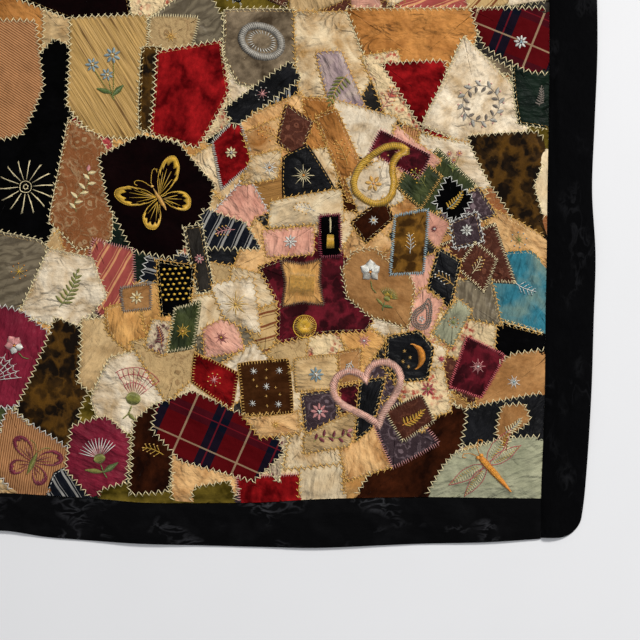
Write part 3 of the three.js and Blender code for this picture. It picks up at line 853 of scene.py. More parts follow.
class Surface:
    """A material and its shader tree."""

    def __init__(self, name, **settings):
        self.material = bpy.data.materials.new(name)
        self.material.use_nodes = True
        self.tree = self.material.node_tree
        self.tree.nodes.clear()
        self.shader = self.node("ShaderNodeBsdfPrincipled", settings)
        self.node("ShaderNodeOutputMaterial", {"Surface": self.shader.outputs[0]})

    def node(self, kind, inputs, **settings):
        """A node of that kind: its settings first, then the values or links of its sockets."""
        made = self.tree.nodes.new(kind)
        for key, value in settings.items():
            setattr(made, key, value)
        for key, value in inputs.items():
            self.feed(made.inputs[key], value)
        return made

    def feed(self, socket, value):
        """Links a value to a socket, or sets it."""
        value = value.socket if isinstance(value, Signal) else value
        if isinstance(value, bpy.types.NodeSocket):
            self.tree.links.new(value, socket)
        else:
            socket.default_value = value

    def signal(self, kind, inputs):
        """The first output of a new node, as a value."""
        return Signal(self, self.node(kind, inputs).outputs[0])

    def vector(self, operation, first, second):
        """A vector worked out from two others."""
        return self.node("ShaderNodeVectorMath", {0: first, 1: second}, operation=operation).outputs[0]

    def place(self, along=1.0):
        """The cloth's own coordinates in mm, drawn out along its grain."""
        grain = self.node("ShaderNodeTexCoord", {}).outputs["UV"]
        return self.vector("MULTIPLY", grain, (1000.0 / along, 1000.0, 1.0))

    def body(self):
        """The quilt's own coordinates in metres."""
        return self.node("ShaderNodeTexCoord", {}).outputs["Object"]

    def axes(self, place=None):
        """The first two coordinates of a place, those of the cloth unless another is given."""
        split = self.node("ShaderNodeSeparateXYZ", {0: self.place() if place is None else place})
        return Signal(self, split.outputs[0]), Signal(self, split.outputs[1])

    def body_noise(self, scale, detail):
        """Noise with that many features in a metre, for a piece that has no grain."""
        inputs = {"Vector": self.body(), "Scale": scale, "Detail": detail}
        return self.signal("ShaderNodeTexNoise", inputs)

    def noise(self, size, detail, along=1.0, twist=0.0, rough=0.5):
        """Noise with features of that size in mm."""
        inputs = {"Vector": self.place(along), "Scale": 1.0 / size, "Detail": detail,
                  "Distortion": twist, "Roughness": rough}
        return self.signal("ShaderNodeTexNoise", inputs)

    def lines(self, size, sharp, detail, **drawn):
        """Thin lines where noise crosses its middle."""
        return (1 - (self.noise(size, detail, **drawn) - 0.5).size() * sharp).held()

    def spots(self, size, above, sharp, detail=1.0, **drawn):
        """Soft spots where noise is above a value."""
        return ((self.noise(size, detail, **drawn) - above) * sharp).held()

    def cells(self, size, place=None):
        """Distance from the nearest of scattered points, in cells of that size in mm."""
        inputs = {"Vector": self.place() if place is None else place, "Scale": 1 / size}
        return self.signal("ShaderNodeTexVoronoi", inputs)

    def tint(self, name):
        """A colour that each patch brings with it."""
        return self.node("ShaderNodeAttribute", {}, attribute_name=name).outputs[0]

    def mix(self, share, first, second):
        """Blend of two colours."""
        return self.node("ShaderNodeMix", {0: share, 6: first, 7: second}, data_type="RGBA").outputs[2]

    def dim(self, tone, amount):
        """A colour times a value."""
        tone = tone[:3] if isinstance(tone, tuple) else tone
        return self.node("ShaderNodeVectorMath", {0: tone, 3: amount}, operation="SCALE").outputs[0]

    def dyed(self, share, shade):
        """The patch's colour, blended towards its second one by a share, times a shade."""
        return self.dim(self.mix(share, self.tint("tint"), self.tint("second")), shade)

    def raise_by(self, height):
        """Bumps of that height in mm."""
        bump = self.node("ShaderNodeBump", {"Height": height, "Distance": MM, "Strength": 1.0})
        self.feed(self.shader.inputs["Normal"], bump.outputs[0])

    def paint(self, tone, rough=None):
        self.feed(self.shader.inputs["Base Color"], tone)
        if rough is not None:
            self.feed(self.shader.inputs["Roughness"], rough)
        return self.material

    def shine(self, weight):
        """A gloss over the cloth that grows with how pale its dye is."""
        pale = self.signal("ShaderNodeRGBToBW", {0: self.tint("tint")})
        self.feed(self.shader.inputs["Coat Weight"], ((pale * 1.4 + 0.06) * weight).held())

    def patchwork(self, tone, rough, height, pucker):
        """Paints a cloth that is sewn down: it puckers square to its hem, within 16 mm of it, by
        that many mm, with painted shade where the puckers dip, and painted shade darkens it in the
        last 5 mm."""
        hem = self.node("ShaderNodeAttribute", {}, attribute_name="hem").outputs["Vector"]
        stretched = self.vector("MULTIPLY", hem, (1.0, 1.0, 0.16))
        draw = self.signal("ShaderNodeTexNoise", {"Vector": stretched, "Scale": 0.24, "Detail": 2.0})
        within = Signal(self, self.node("ShaderNodeSeparateXYZ", {0: hem}).outputs[2])
        near = (1 - within * (1 / 16)).held()
        edge = (1 - within * (1 / 5)).held()
        self.raise_by(height + (draw - 0.5) * near * (2 * pucker))
        # Painted shade: darker in the last 5 mm by the hem, and where the puckers dip.
        shade = (1 - edge * edge * 0.5) * (1 - (0.55 - draw).held() * near * pucker * 0.8)
        return self.paint(self.dim(tone, shade), rough)


def pile(name, gloss, marks, sewn=True):
    """Velvet: soft painted shade in the pile, streaked along its lie, and marks where it is crushed,
    painted lighter as its sheen.
    """
    s = Surface(name, **{"Roughness": 0.8, "Sheen Weight": 0.03, "Sheen Roughness": 0.4,
                         "Specular IOR Level": gloss})
    spots = marks(s).held()
    streak = s.noise(4.0, 3.0, along=1.8)
    nap = s.noise(1.6, 1.0)
    height = spots * 0.4 + streak * 0.5 + nap * 0.12
    # Painted sheen and shade: the crushed marks take the lighter second colour, and the streaks and nap
    # that raise the pile lighten and darken it.
    tone = s.dyed(spots, 0.35 + streak * 0.8 + nap * 0.5)
    rough = 0.8 - spots * 0.25
    if sewn:
        return s.patchwork(tone, rough, height, 0.35)
    s.raise_by(height)
    return s.paint(tone, rough)


def brushed(s):
    """Broad soft clouds of painted sheen, where the pile leans another way."""
    return (s.noise(27, 3.0, along=1.4, twist=0.6) - 0.5) * 2.4 + (s.noise(8, 2.0) - 0.5) * 0.9 + 0.38


def blotted(s):
    """Painted sheen: dark blots with thin light lines where they meet, under broad soft clouds."""
    warp = s.node("ShaderNodeTexNoise", {"Vector": s.place(), "Scale": 1 / 13, "Detail": 3.0}).outputs[1]
    moved = s.vector("ADD", s.place(), s.vector("MULTIPLY", warp, (26.0, 26.0, 0.0)))
    lines = ((s.cells(14, moved) - 0.44) * 3.4).held()
    return lines * 0.75 + (s.noise(34, 2.0) - 0.5) * 1.6 + (s.noise(6, 2.0) - 0.5) * 0.4 + 0.04


def wisps(s):
    """Short thin light marks of painted sheen, in loose groups."""
    marks = s.lines(15, 15, 3.0, along=1.8, twist=0.7) * s.spots(52, 0.54, 6, 2.0, along=1.5)
    return marks * 0.6 + (s.noise(36, 2.0) - 0.5) * 0.16


def satin():
    """Satin: soft long folds, small creases across them, worn spots, a close glossy weave, with
    painted light and shade on its folds and painted shade in its creases.
    """
    s = Surface("satin_cloth", **{"Specular IOR Level": 0.1, "Coat Roughness": 0.34})
    s.shine(0.5)
    worn = ((s.noise(34, 4.0, twist=0.6) - 0.5) * 3.0 + 0.35).held()
    folds = s.noise(20, 2.0, along=2.2, twist=0.5)
    crease = s.lines(26, 9.0, 1.5, along=2.0, twist=0.9) * s.spots(32, 0.45, 6)
    fine = s.noise(5.0, 3.0, along=2.4)
    weave = s.noise(1.6, 2.0, along=3.0)
    height = folds * 8.5 - crease * 1.6 + fine * 2.9 + weave * 0.1
    # Painted light and shade: the colour follows the folds and fine wrinkles that raise the cloth, and
    # darkens in the creases.
    shade = (0.5 + folds * 0.24 + fine * 0.46 + weave * 0.3) * (1 - crease * 0.16)
    return s.patchwork(s.dyed(worn * 0.8, shade), 0.5 + worn * 0.15, height, 0.8)


def silk():
    """Thin aged silk: crumpled all over, with painted shade in its creases, shattered here and there,
    stained in blotches.
    """
    s = Surface("silk_cloth", **{"Specular IOR Level": 0.1, "Coat Roughness": 0.45})
    s.shine(0.35)
    stain = ((s.noise(36, 5.0, twist=0.8, rough=0.6) - 0.5) * 3.4 + 0.35).held()
    crumple = s.lines(23, 11.0, 2.5, along=1.5, twist=0.8) * s.spots(44, 0.46, 6)
    crepe = s.noise(5.0, 3.0, along=1.6)
    grain = s.noise(1.6, 2.0, along=2.0)
    split = s.spots(1.6, 0.64, 9, 2.0, along=9.0) * s.spots(30, 0.48, 6)
    height = s.noise(18, 2.0, along=1.6) * 7.6 - crumple * 1.9 + crepe * 2.4
    # Painted shade: darker in the crumples' creases, and lighter and darker with the crepe that raises the
    # cloth.
    shade = (1.02 - crumple * 0.18) * (0.66 + crepe * 0.4 + grain * 0.28)
    tone = s.mix(split * 0.35, s.dyed(stain, shade), colour("#4a2d14"))
    return s.patchwork(tone, 0.6 + stain * 0.15, height, 0.8)


def brocade():
    """Woven flowers and scrolls: petalled rings round scattered middles, and curling bands."""
    s = Surface("brocade_cloth", **{"Specular IOR Level": 0.12})
    along, across = s.axes()
    reach = s.cells(19)
    petals = (reach * 17 + (s.noise(9, 2.0) - 0.5) * 9).sine() * (1.15 - reach * 1.7).held()
    figure = (petals * 1.6 + s.lines(14, 16, 1.0, twist=1.8) * 0.6 - 0.15).held()
    weave = (along * 7.0).sine() * (across * 7.0).sine()
    height = figure * 0.5 + weave * 0.06 + s.noise(18, 3.0) * 4.2
    shade = 0.64 + weave * 0.1 + s.noise(12, 3.0) * 0.28 + s.noise(1.3, 2.0) * 0.4
    return s.patchwork(s.dyed(figure * 0.75, shade), 0.6 - figure * 0.15, height, 0.6)


def rib():
    """Coarse ribbed cloth: slanting ribs over cross threads, with painted shade in the grooves between
    the ribs.
    """
    s = Surface("ribbed_cloth", **{"Specular IOR Level": 0.1})
    along, across = s.axes()
    ribs = ((along + across * 0.5) * 2.0 + s.noise(6, 1.0) * 2.5).wave()
    threads = (across * 4.2 - along).wave()
    height = ribs * 0.45 + threads * 0.1 + s.noise(22, 2.0) * 4.5
    # Painted shade: the ribs' crests take the lighter colour and the grooves between them the darker second
    # one.
    tone = s.mix(ribs, s.tint("second"), s.tint("tint"))
    return s.patchwork(s.dim(tone, 0.7 + threads * 0.12 + s.noise(18, 3.0) * 0.35), 0.75, height, 0.5)


def pleat():
    """Silk in long fine pleats: streaks along the grain, with painted shade in their folds."""
    s = Surface("pleated_silk", **{"Specular IOR Level": 0.15})
    streak = s.noise(4.6, 3.0, along=22.0, twist=0.5)
    # Painted shade: the darker second colour along the folds, and darker fine lines where the cloth dips.
    folds = ((streak - 0.56) * 7).held()
    lines = s.lines(3.0, 6.0, 2.0, along=26.0)
    return s.patchwork(s.dyed(folds * 0.9, 1.0 - lines * 0.22), 0.5, streak * 2.6 - lines * 0.4, 0.5)


def stripe():
    """Satin stripes: a wide and a narrow band in each repeat of 15 mm."""
    s = Surface("striped_satin", **{"Specular IOR Level": 0.12})
    along, across = s.axes()
    step = (across * (1 / 15) + (s.noise(24, 1.0) - 0.5) * 0.2).part()
    band = step.within(0.42, 0.6) + step.within(0.74, 0.79)
    weave = (along * 6.0).wave()
    height = band * 0.08 + weave * 0.03 + s.noise(15, 2.0, along=2.0) * 5.0
    return s.patchwork(s.dyed(band, 0.8 + weave * 0.08 + s.noise(12, 3.0) * 0.26), 0.45, height, 0.8)


def plaid():
    """Wool plaid: wide dark bands both ways on wine, a fine cream line each way and thin red ones."""
    s = Surface("plaid_cloth", **{"Specular IOR Level": 0.05})
    along, across = s.axes()
    u, v = (along * (1 / 78)).part(), (across * (1 / 66)).part()
    dark = u.within(0.08, 0.36) * 0.95 + v.within(0.1, 0.36) * 0.4
    red = u.within(0.2, 0.225) + v.within(0.22, 0.24)
    line = u.within(0.7, 0.732) + v.within(0.66, 0.69)
    twill = ((along + across) * 4.6).wave()
    tone = s.mix(dark.held(), s.tint("tint"), s.tint("second"))
    tone = s.mix(red.held() * 0.6, tone, colour("#7d1620"))
    tone = s.mix(line.held() * (0.5 + twill * 0.4), tone, colour("#a68c6c"))
    height = twill * 0.15 + s.noise(24, 2.0) * 5.0
    return s.patchwork(s.dim(tone, 0.75 + twill * 0.3), 0.8, height, 0.4)


def moire():
    """Watered cloth: bands that run together like wood grain."""
    s = Surface("watered_cloth", **{"Specular IOR Level": 0.15})
    water = (s.axes()[1] * 0.5 + s.noise(22, 4.0, along=2.0, twist=1.4) * 22).wave()
    height = water * 0.2 + s.noise(17, 2.0, along=2.0, twist=0.6) * 6.0
    shade = 0.8 + s.noise(2.0, 2.0, along=4.0) * 0.35
    return s.patchwork(s.dyed(water * 0.55, shade), 0.5 - water * 0.1, height, 0.9)


def printed():
    """Thin cloth printed with clusters of small flowers, crumpled, with painted shade in its creases."""
    s = Surface("printed_cloth", **{"Specular IOR Level": 0.12})
    petals = ((0.6 - s.cells(5.5) + (s.noise(1.8, 2.0) - 0.5) * 0.7) * 4).held()
    clusters = s.spots(24, 0.45, 8, 2.0)
    leaves = s.spots(5.0, 0.56, 9, 3.0, along=2.0)
    crumple = s.lines(24, 13.0, 2.5, twist=0.8)
    tone = s.mix(leaves * 0.3, s.tint("tint"), colour("#77703f"))
    tone = s.mix(petals * clusters * 0.88, tone, s.tint("second"))
    height = s.noise(15, 3.0) * 7.0 - crumple * 1.2 + s.noise(2.0, 2.0) * 0.4
    # Painted shade: darker in the creases of the crumples.
    return s.patchwork(s.dim(tone, 0.84 - crumple * 0.18 + s.noise(1.3, 2.0) * 0.38), 0.6, height, 1.0)


def thread_finish(name, code):
    """Silk thread: glossy, with uneven light and dark painted into its colour as its sheen."""
    s = Surface("thread_" + name, **{"Roughness": 0.38, "Sheen Weight": 0.15, "Specular IOR Level": 0.5})
    # Painted sheen: the thread's colour is lighter and darker in small patches.
    return s.paint(s.dim(colour(code), 0.44 + s.body_noise(260.0, 2.0) * 1.06))


def plain_cotton():
    """Undyed cotton of the foundation: a plain weave of two crossed waves."""
    s = Surface("foundation_cotton", **{"Roughness": 0.9, "Specular IOR Level": 0.2})
    x, y = s.axes(s.body())
    weave = (x * 5200.0).sine() * (y * 5200.0).sine()
    blotch = s.body_noise(14.0, 4.0)
    s.raise_by(weave * 0.15 + blotch * 0.3)
    return s.paint(s.dim(colour("#b8aa8c"), 0.8 + blotch * 0.3 + weave * 0.04))


FINISHES = {
    "velvet": lambda: pile("velvet_cloth", 0.02, brushed),
    "panne": lambda: pile("panne_velvet", 0.08, blotted),
    "satin": satin, "silk": silk, "pleat": pleat, "rib": rib, "brocade": brocade,
    "stripe": stripe, "moire": moire, "print": printed, "plaid": plaid,
}


class QuiltSettings(bpy.types.PropertyGroup):
    """Sizes and colours of the quilt that a user may change."""

    puff: bpy.props.FloatProperty(
        name="Puff", description="How far a patch rises inside its seams",
        default=0.0012, min=0.0, max=0.004, unit="LENGTH", subtype="DISTANCE")
    thread: bpy.props.FloatProperty(
        name="Thread", description="Thickness of the embroidery thread",
        default=0.0011, min=0.0004, max=0.003, unit="LENGTH", subtype="DISTANCE")
    border: bpy.props.FloatVectorProperty(
        name="Border", description="Colour of the border's velvet in shade",
        default=colour("#040405")[:3], subtype="COLOR", size=3, min=0, max=1)
    # The border's shine is painted sheen where its velvet is crushed.
    border_shine: bpy.props.FloatVectorProperty(
        name="Border shine", description="Colour of the border's velvet where it is crushed",
        default=colour("#3b3b3e")[:3], subtype="COLOR", size=3, min=0, max=1)
    floor: bpy.props.FloatVectorProperty(
        name="Floor", description="Colour of the surface under the quilt",
        default=colour("#e7e7e8")[:3], subtype="COLOR", size=3, min=0, max=1)


class QUILT_OT_foundation(bpy.types.Operator):
    """Foundation cloth that the patches are sewn to"""

    bl_idname = "quilt.foundation"
    bl_label = "Foundation"

    def execute(self, context):
        """A closed sheet: a grid over the top between its seams, a little under the patches, and
        its flat underside."""
        count = FOUNDATION_STATIONS
        u, v = np.meshgrid(np.linspace(-1, 1, count), np.linspace(-1, 1, count), indexing="ij")
        x, y = keep_in(u * GRID_REACH, v * GRID_REACH, 0.5)
        upper = np.stack([x, y, cloth_height(x, y) - FOUNDATION_GAP], -1).reshape(-1, 3)
        lower = upper.copy()
        lower[:, 2] = 0.0
        faces = grid_faces(count, count)
        k = np.arange(count)
        rim = np.concatenate([k[:-1], k[:-1] * count + count - 1,
                              (count - 1) * count + k[:0:-1], k[:0:-1] * count])
        after = np.roll(rim, -1)
        under = count * count
        wall = np.stack([rim, after, after + under, rim + under], 1)
        piece = add_piece("foundation", np.concatenate([upper, lower]),
                          [faces[:, ::-1], faces + under, wall], plain_cotton())
        return {"FINISHED"}


def kept_faces(patch, number, relief):
    """Faces of a patch, in fours from ring to ring and in threes at its middle, without those whose
    points all lie well under another patch."""
    x, y = patch.points[:, 0], patch.points[:, 1]
    seen = relief.top_at(x, y) == number
    for dx, dy in ((3, 0), (-3, 0), (0, 3), (0, -3)):
        seen |= relief.top_at(x + dx, y + dy) == number
    body = grid_faces(patch.rings, patch.count, close=True)
    last = (patch.rings - 1) * patch.count + np.arange(patch.count)
    fan = np.stack([last, np.roll(last, -1), np.full(patch.count, len(x) - 1)], 1)
    return body[seen[body].any(1)], fan[seen[fan].any(1)]


class QUILT_OT_patches(bpy.types.Operator):
    """Patches of the top, joined cloth by cloth"""

    bl_idname = "quilt.patches"
    bl_label = "Patches"

    def execute(self, context):
        """The points that no kept face uses are left out, and the rest numbered anew."""
        patches, relief = quilt_top(context.scene.crazy_quilt.puff / MM)
        for weave, finish in FINISHES.items():
            parts = []
            first = 0
            for number, patch in enumerate(patches):
                if patch.weave != weave:
                    continue
                body, fan = kept_faces(patch, number, relief)
                used = np.unique(np.concatenate([body.ravel(), fan.ravel()]))
                if len(used) == 0:
                    continue
                rank = np.zeros(len(patch.points), int)
                rank[used] = np.arange(len(used)) + first
                tones = [np.tile(np.array(colour(code)) ** DEPTH_OF_DYE * patch.shade * AGE, (len(used), 1))
                         for code in CLOTHS[patch.cloth]]
                parts.append((patch.points[used], rank[body], rank[fan], patch.grain_uv[used],
                              patch.hem[used], *tones))
                first += len(used)
            points, body, fan, uv, hem, tint, second = (np.concatenate(part) for part in zip(*parts))
            piece = add_piece("patches_" + weave, points, [body, fan], finish(), uv,
                              {"tint": tint, "second": second},
                              ["pieced_top"] if weave == "velvet" else [], hem)
            size = sum(face.area for face in piece.data.polygons)
            round(size / 0.5, 3)
        return {"FINISHED"}


class Thread:
    """Lengths of embroidery thread, gathered colour by colour and swept into tubes."""

    def __init__(self, relief, width):
        self.relief, self.width = relief, width
        self.points, self.faces, self.count = {}, {}, {}

    def sweep(self, name, paths, width, sides):
        """Tubes round many paths at once. A tube's section is a regular polygon square to the path,
        smaller at both ends, where it is closed."""
        number, steps = paths.shape[:2]
        tangent = np.gradient(paths, axis=1)
        tangent /= np.maximum(np.linalg.norm(tangent, axis=2, keepdims=True), 1e-9)
        side = np.cross(tangent, (0.0, 0.0, 1.0))
        side /= np.maximum(np.linalg.norm(side, axis=2, keepdims=True), 1e-9)
        over = np.cross(side, tangent)
        share = np.linspace(0, 1, steps)
        radius = 0.5 * np.asarray(width) * (0.55 + 0.45 * np.sin(np.pi * share) ** 0.5)
        radius = np.broadcast_to(radius, (number, steps))[..., None, None]
        angle = 2 * np.pi * (np.arange(sides) + 0.5) / sides
        ring = side[:, :, None] * np.cos(angle)[:, None] + over[:, :, None] * np.sin(angle)[:, None]
        points = (paths[:, :, None] + radius * ring).reshape(-1, 3)
        tube = grid_faces(steps, sides, close=True)[:, ::-1]
        first = np.arange(number)[:, None, None] * steps * sides
        ends = np.stack([np.arange(sides), (steps - 1) * sides + np.arange(sides)[::-1]])
        base = self.count.get(name, 0)
        self.points.setdefault(name, []).append(points)
        self.faces.setdefault(name, []).append((base + first + tube[None]).reshape(-1, 4))
        self.faces[name].append((base + first + ends[None]).reshape(-1, sides))
        self.count[name] = base + len(points)

    def stitch(self, name, lines, width, height, steps=3, sides=THREAD_SIDES, base=0.0):
        """Straight or curved stitches from lines of plan points: each is drawn in at its ends and
        stands up by height between them, over the cloth that lies under it."""
        lines = np.asarray(lines, float)
        if len(lines) == 0:
            return
        if lines.shape[1] == 2:
            t = np.linspace(0, 1, steps)[None, :, None]
            lines = lerp(lines[:, :1], lines[:, 1:], t)
        share = np.linspace(0, 1, lines.shape[1])
        z = self.relief.sample(lines[..., 0], lines[..., 1])
        rise = base + height * np.sin(np.pi * share) ** 0.7 - 0.1
        self.sweep(name, np.concatenate([lines, (z + rise)[..., None]], 2), width * self.width, sides)

    def pieces(self):
        """One mesh of each colour."""
        for name in sorted(self.points):
            add_piece("thread_" + name, np.concatenate(self.points[name]), self.faces[name],
                      thread_finish(name, THREADS[name]))


def beside(outline, along, across):
    """Points at a distance along a closed outline and a distance inward from it."""
    line = np.vstack([outline, outline[:1]])
    run = np.r_[0, np.cumsum(np.hypot(*np.diff(line, axis=0).T))]

    def at(place):
        place = np.mod(place, run[-1])
        return np.stack([np.interp(place, run, line[:, 0]), np.interp(place, run, line[:, 1])], -1)

    ahead = at(along + 1.5) - at(along - 1.5)
    return at(along) + across[..., None] * leftward(ahead)


def sew_seam(thread, patch, number, rng, trim, name):
    """Stitches round a patch: the strokes of a trim, repeated along the outline with their ends a
    little off, wherever the patch is on top and the border is a little way off."""
    pitch, reach, width, strokes = TRIMS[trim]
    total = length_of(patch.outline)
    repeats = max(4, int(total / pitch))
    pitch = total / repeats
    steps = 3 if patch.near and trim != "couching" else 2
    strokes = np.array(strokes, float)
    t = np.linspace(0, 1, steps)
    along = np.arange(repeats)[:, None, None] + lerp(strokes[:, None, 0], strokes[:, None, 2], t)
    along = along * pitch
    across = np.broadcast_to(lerp(strokes[:, None, 1], strokes[:, None, 3], t) * reach, along.shape)
    loose = rng.uniform(-0.5, 0.5, (2, repeats, len(strokes), 2))
    bend = 1 - t
    along = along + loose[0, ..., :1] * bend + loose[0, ..., 1:] * t
    across = across + loose[1, ..., :1] * bend + loose[1, ..., 1:] * t
    lines = beside(patch.outline, along, across).reshape(-1, steps, 2)
    middle = beside(patch.outline, along.mean(-1), np.full(along.shape[:2], 2.0)).reshape(-1, 2)
    seen = thread.relief.top_at(middle[:, 0], middle[:, 1]) == number
    clear = inward(lines[..., 0], lines[..., 1]).min(1) > 1.5
    thread.stitch(name, lines[seen & clear], width, SEAM_STITCH_RISE, steps)


class Needle:
    """Sews a motif: plan points in the motif's own mm, turned, sized and moved to its place. Away
    from the near corner its threads are fewer and thicker."""

    def __init__(self, thread, place, main, other):
        self.thread, self.main, self.other = thread, main, other
        self.x, self.y, self.turn, self.size = place
        self.pitch = 1.0 if near_corner((self.x, self.y), (self.x, self.y)) else FAR_PITCH

    def on_cloth(self, points):
        """Points on the quilt, a little out of true, as sewn by hand."""
        plan = turned(np.asarray(points, float).reshape(-1, 2) * self.size, self.turn) + (self.x, self.y)
        drift = [0.55 * value_noise(plan[:, 0], plan[:, 1], 5, layer) for layer in (6, 7)]
        return (plan + np.stack(drift, 1)).reshape(np.shape(points))

    def stems(self, points, name=None, width=1.15, closed=False, height=0.7):
        """Stem stitch: short strokes along a line, each begun a little to the side of the last."""
        line = self.on_cloth(points)
        count = max(3, int(length_of(line, False) / STEM_LENGTH / self.pitch))
        line = spaced(line, count, closed)
        after = np.roll(line, -1, 0)
        start, end = line, after + STEM_OVERLAP * (after - line)
        if not closed:
            start, end = start[:-1], end[:-1]
        step = end - start
        aside = np.stack([-step[:, 1], step[:, 0]], 1) * STEM_LEAN
        lines = np.stack([start - aside, end + aside], 1)
        self.thread.stitch(name or self.main, lines, width, height)

    def strokes(self, start, end, name=None, width=1.2, height=0.8):
        """Straight stitches from each start to each end."""
        lines = np.stack([self.on_cloth(start), self.on_cloth(end)], 1)
        self.thread.stitch(name or self.main, lines, width, height)

    def fill(self, left, right, name=None, height=0.9, close=0.8, groove=None):
        """Satin stitch: threads side by side from one rail to the other, over a padding. Where a
        groove is named, each third thread has that darker colour and lies lower: painted shade
        between the ribs."""
        left, right = self.on_cloth(left), self.on_cloth(right)
        run = max(length_of(rail, False) for rail in (0.5 * (left + right), left, right))
        count = max(3, int(run / close / self.pitch))
        lines = np.stack([spaced(left, count, False), spaced(right, count, False)], 1)
        wide = np.hypot(*(lines[:, 1] - lines[:, 0]).T)
        lines = lines[wide > 0.5]
        width = 1.05 * self.pitch
        low = np.arange(len(lines)) % 3 == 2 if groove else np.zeros(len(lines), bool)
        # The groove threads' darker colour is painted shade.
        for thread, chosen, share in ((name or self.main, ~low, 1.0), (groove, low, GROOVE_HEIGHT)):
            self.thread.stitch(thread, lines[chosen], width, height * share, steps=4, base=0.15)

    def leaf(self, base, tip, width, name=None, height=0.8):
        """A leaf in satin stitch: its half width is a half sine wave from base to tip."""
        base, tip = np.asarray(base, float), np.asarray(tip, float)
        t = np.linspace(0.02, 0.98, 12)[:, None]
        half = 0.5 * width * np.sin(np.pi * t**0.85) * leftward(tip - base)
        middle = lerp(base, tip, t)
        self.fill(middle - half, middle + half, name, height)

    def band(self, points, width, name=None, height=2.6, closed=True, groove=None):
        """A padded satin band: the rails lie half a width to each side of its line."""
        line = spaced(np.asarray(points, float), 90, closed)
        if closed:
            step = np.roll(line, -1, 0) - np.roll(line, 1, 0)
        else:
            step = np.gradient(line, axis=0)
        half = 0.5 * width * leftward(step)
        if not closed:
            half = half * np.minimum(1, 0.35 + np.sin(np.pi * np.linspace(0, 1, len(line))) * 2)[:, None]
        left, right = line - half, line + half
        if closed:
            left, right = np.vstack([left, left[:1]]), np.vstack([right, right[:1]])
        self.fill(left, right, name, height, 0.95, groove)

    def knots(self, points, name=None, width=2.4):
        """French knots: short fat stitches that stand up like beads."""
        spots = self.on_cloth(np.asarray(points, float))
        lines = np.stack([spots - (width * 0.42, 0), spots + (width * 0.42, 0)], 1)
        self.thread.stitch(name or self.main, lines, width, 0.9, sides=4, base=0.2)

    def star(self, place, arms, reach, name=None, width=1.0, start=0.0):
        """Strokes that cross at a place, evenly turned."""
        tips = around(arms, reach, start, 180 - 180 / arms)
        self.strokes(tips + place, place - tips, name, width)

    def flower(self, place, petals, reach, width, start=0.0, name=None, heart=0.25, height=0.8):
        """Leaves round a place, each from a share of its reach outward."""
        for tip in around(petals, reach, start):
            self.leaf(tip * heart + place, tip + place, width, name, height)

    def oval(self, middle, half_width, half_height, points, name, height):
        """An oval in satin stitch, sewn up and down."""
        t = np.linspace(-1, 1, points)[:, None]
        rise = half_height * np.sqrt(1 - t**2)
        left, right = np.hstack([t * half_width, middle - rise]), np.hstack([t * half_width, middle + rise])
        self.fill(left, right, name, height)

    def feelers(self, line, name, width):
        """Stem stitch along a line and along its mirror image."""
        for side in (1, -1):
            self.stems(np.asarray(line) * (side, 1), name, width)


def curved(points, closed=False):
    """The line with its corners cut at a quarter and three quarters of each side, three times."""
    line = np.asarray(points, float)
    for _ in range(3):
        after = np.roll(line, -1, 0) if closed else line[1:]
        before = line if closed else line[:-1]
        cut = np.stack([lerp(before, after, 0.25), lerp(before, after, 0.75)], 1).reshape(-1, 2)
        line = cut if closed else np.vstack([line[:1], cut, line[-1:]])
    return line


def around(number, radius, start=0.0, span=360.0, squash=1.0):
    """Points on a circle, or on a part of it."""
    whole = span >= 360
    angle = np.radians(start + span * np.arange(number) / (number if whole else max(number - 1, 1)))
    return np.stack([np.cos(angle), squash * np.sin(angle)], 1) * radius


def spokes(n):
    n.strokes(around(14, 10), around(14, 35), width=1.5)
    n.strokes(around(14, 20, 3), around(14, 36, -2), width=1.2)
    n.stems(around(24, 8), closed=True)
    n.stems(around(12, 3.5), closed=True)


def burst(n):
    n.strokes(around(16, 1), around(16, 1) * np.tile([[11.0], [6.5]], (8, 1)), width=1.0)
    n.knots([(0, 0)], n.other, 3)


def snow(n):
    n.star((0, 0), 4, 9)
    n.knots(around(8, 12), n.other, 1.8)


def snow_rows(n):
    """Rows of star stitches with small crosses between them."""
    for x, y in [(-16, 20), (16, 21), (0, 1), (-17, -20), (15, -21)]:
        n.star((x, y), 4, 4.6, width=0.95)
    for x, y in [(0, 22), (0, 12), (-12, 1), (12, 0), (0, -11), (1, -23), (-16, 9), (17, -9)]:
        n.star((x, y), 2, 1.9, n.other, 0.9)


def dots(n):
    n.knots([(x * 9 + (y % 2) * 4.5 - 2, y * 8) for y in range(-3, 4) for x in range(-2, 3)], width=3.6)


def daisy(n):
    n.flower((0, 0), 8, 11, 4.2)
    n.knots([(0, 0), (1.6, 0.6), (-1.2, 1.0), (0.2, -1.7)], n.other, 2.2)


def posy(n):
    """Three daisies on stems with a pair of leaves."""
    for x, y, size in [(-11, 14, 0.62), (9, 18, 0.72), (0, 2, 0.55)]:
        n.flower((x, y), 7, 11 * size, 4.6 * size, 12)
        n.knots([(x, y)], n.other, 2.6)
        n.stems([(x, y - 6 * size), (x * 0.4, -8), (0, -22)], "olive")
    n.leaf((0, -16), (-13, -8), 5, "green")
    n.leaf((0, -18), (13, -11), 5, "green")


def fronds(n):
    """A curved stem with pairs of leaves that shorten towards its tip."""
    t = np.linspace(0, 1, 9)
    stem = np.stack([8 * np.sin(2.2 * t), -26 + 52 * t], 1)
    n.stems(stem, n.other)
    for k, (x, y) in enumerate(stem[1:-1]):
        reach = 13 - 1.1 * k
        n.leaf((x, y), (x + reach, y + 7), 4.4)
        n.leaf((x, y), (x - reach, y + 7), 4.4)
    n.leaf(stem[-1], stem[-1] + (1, 8), 4)


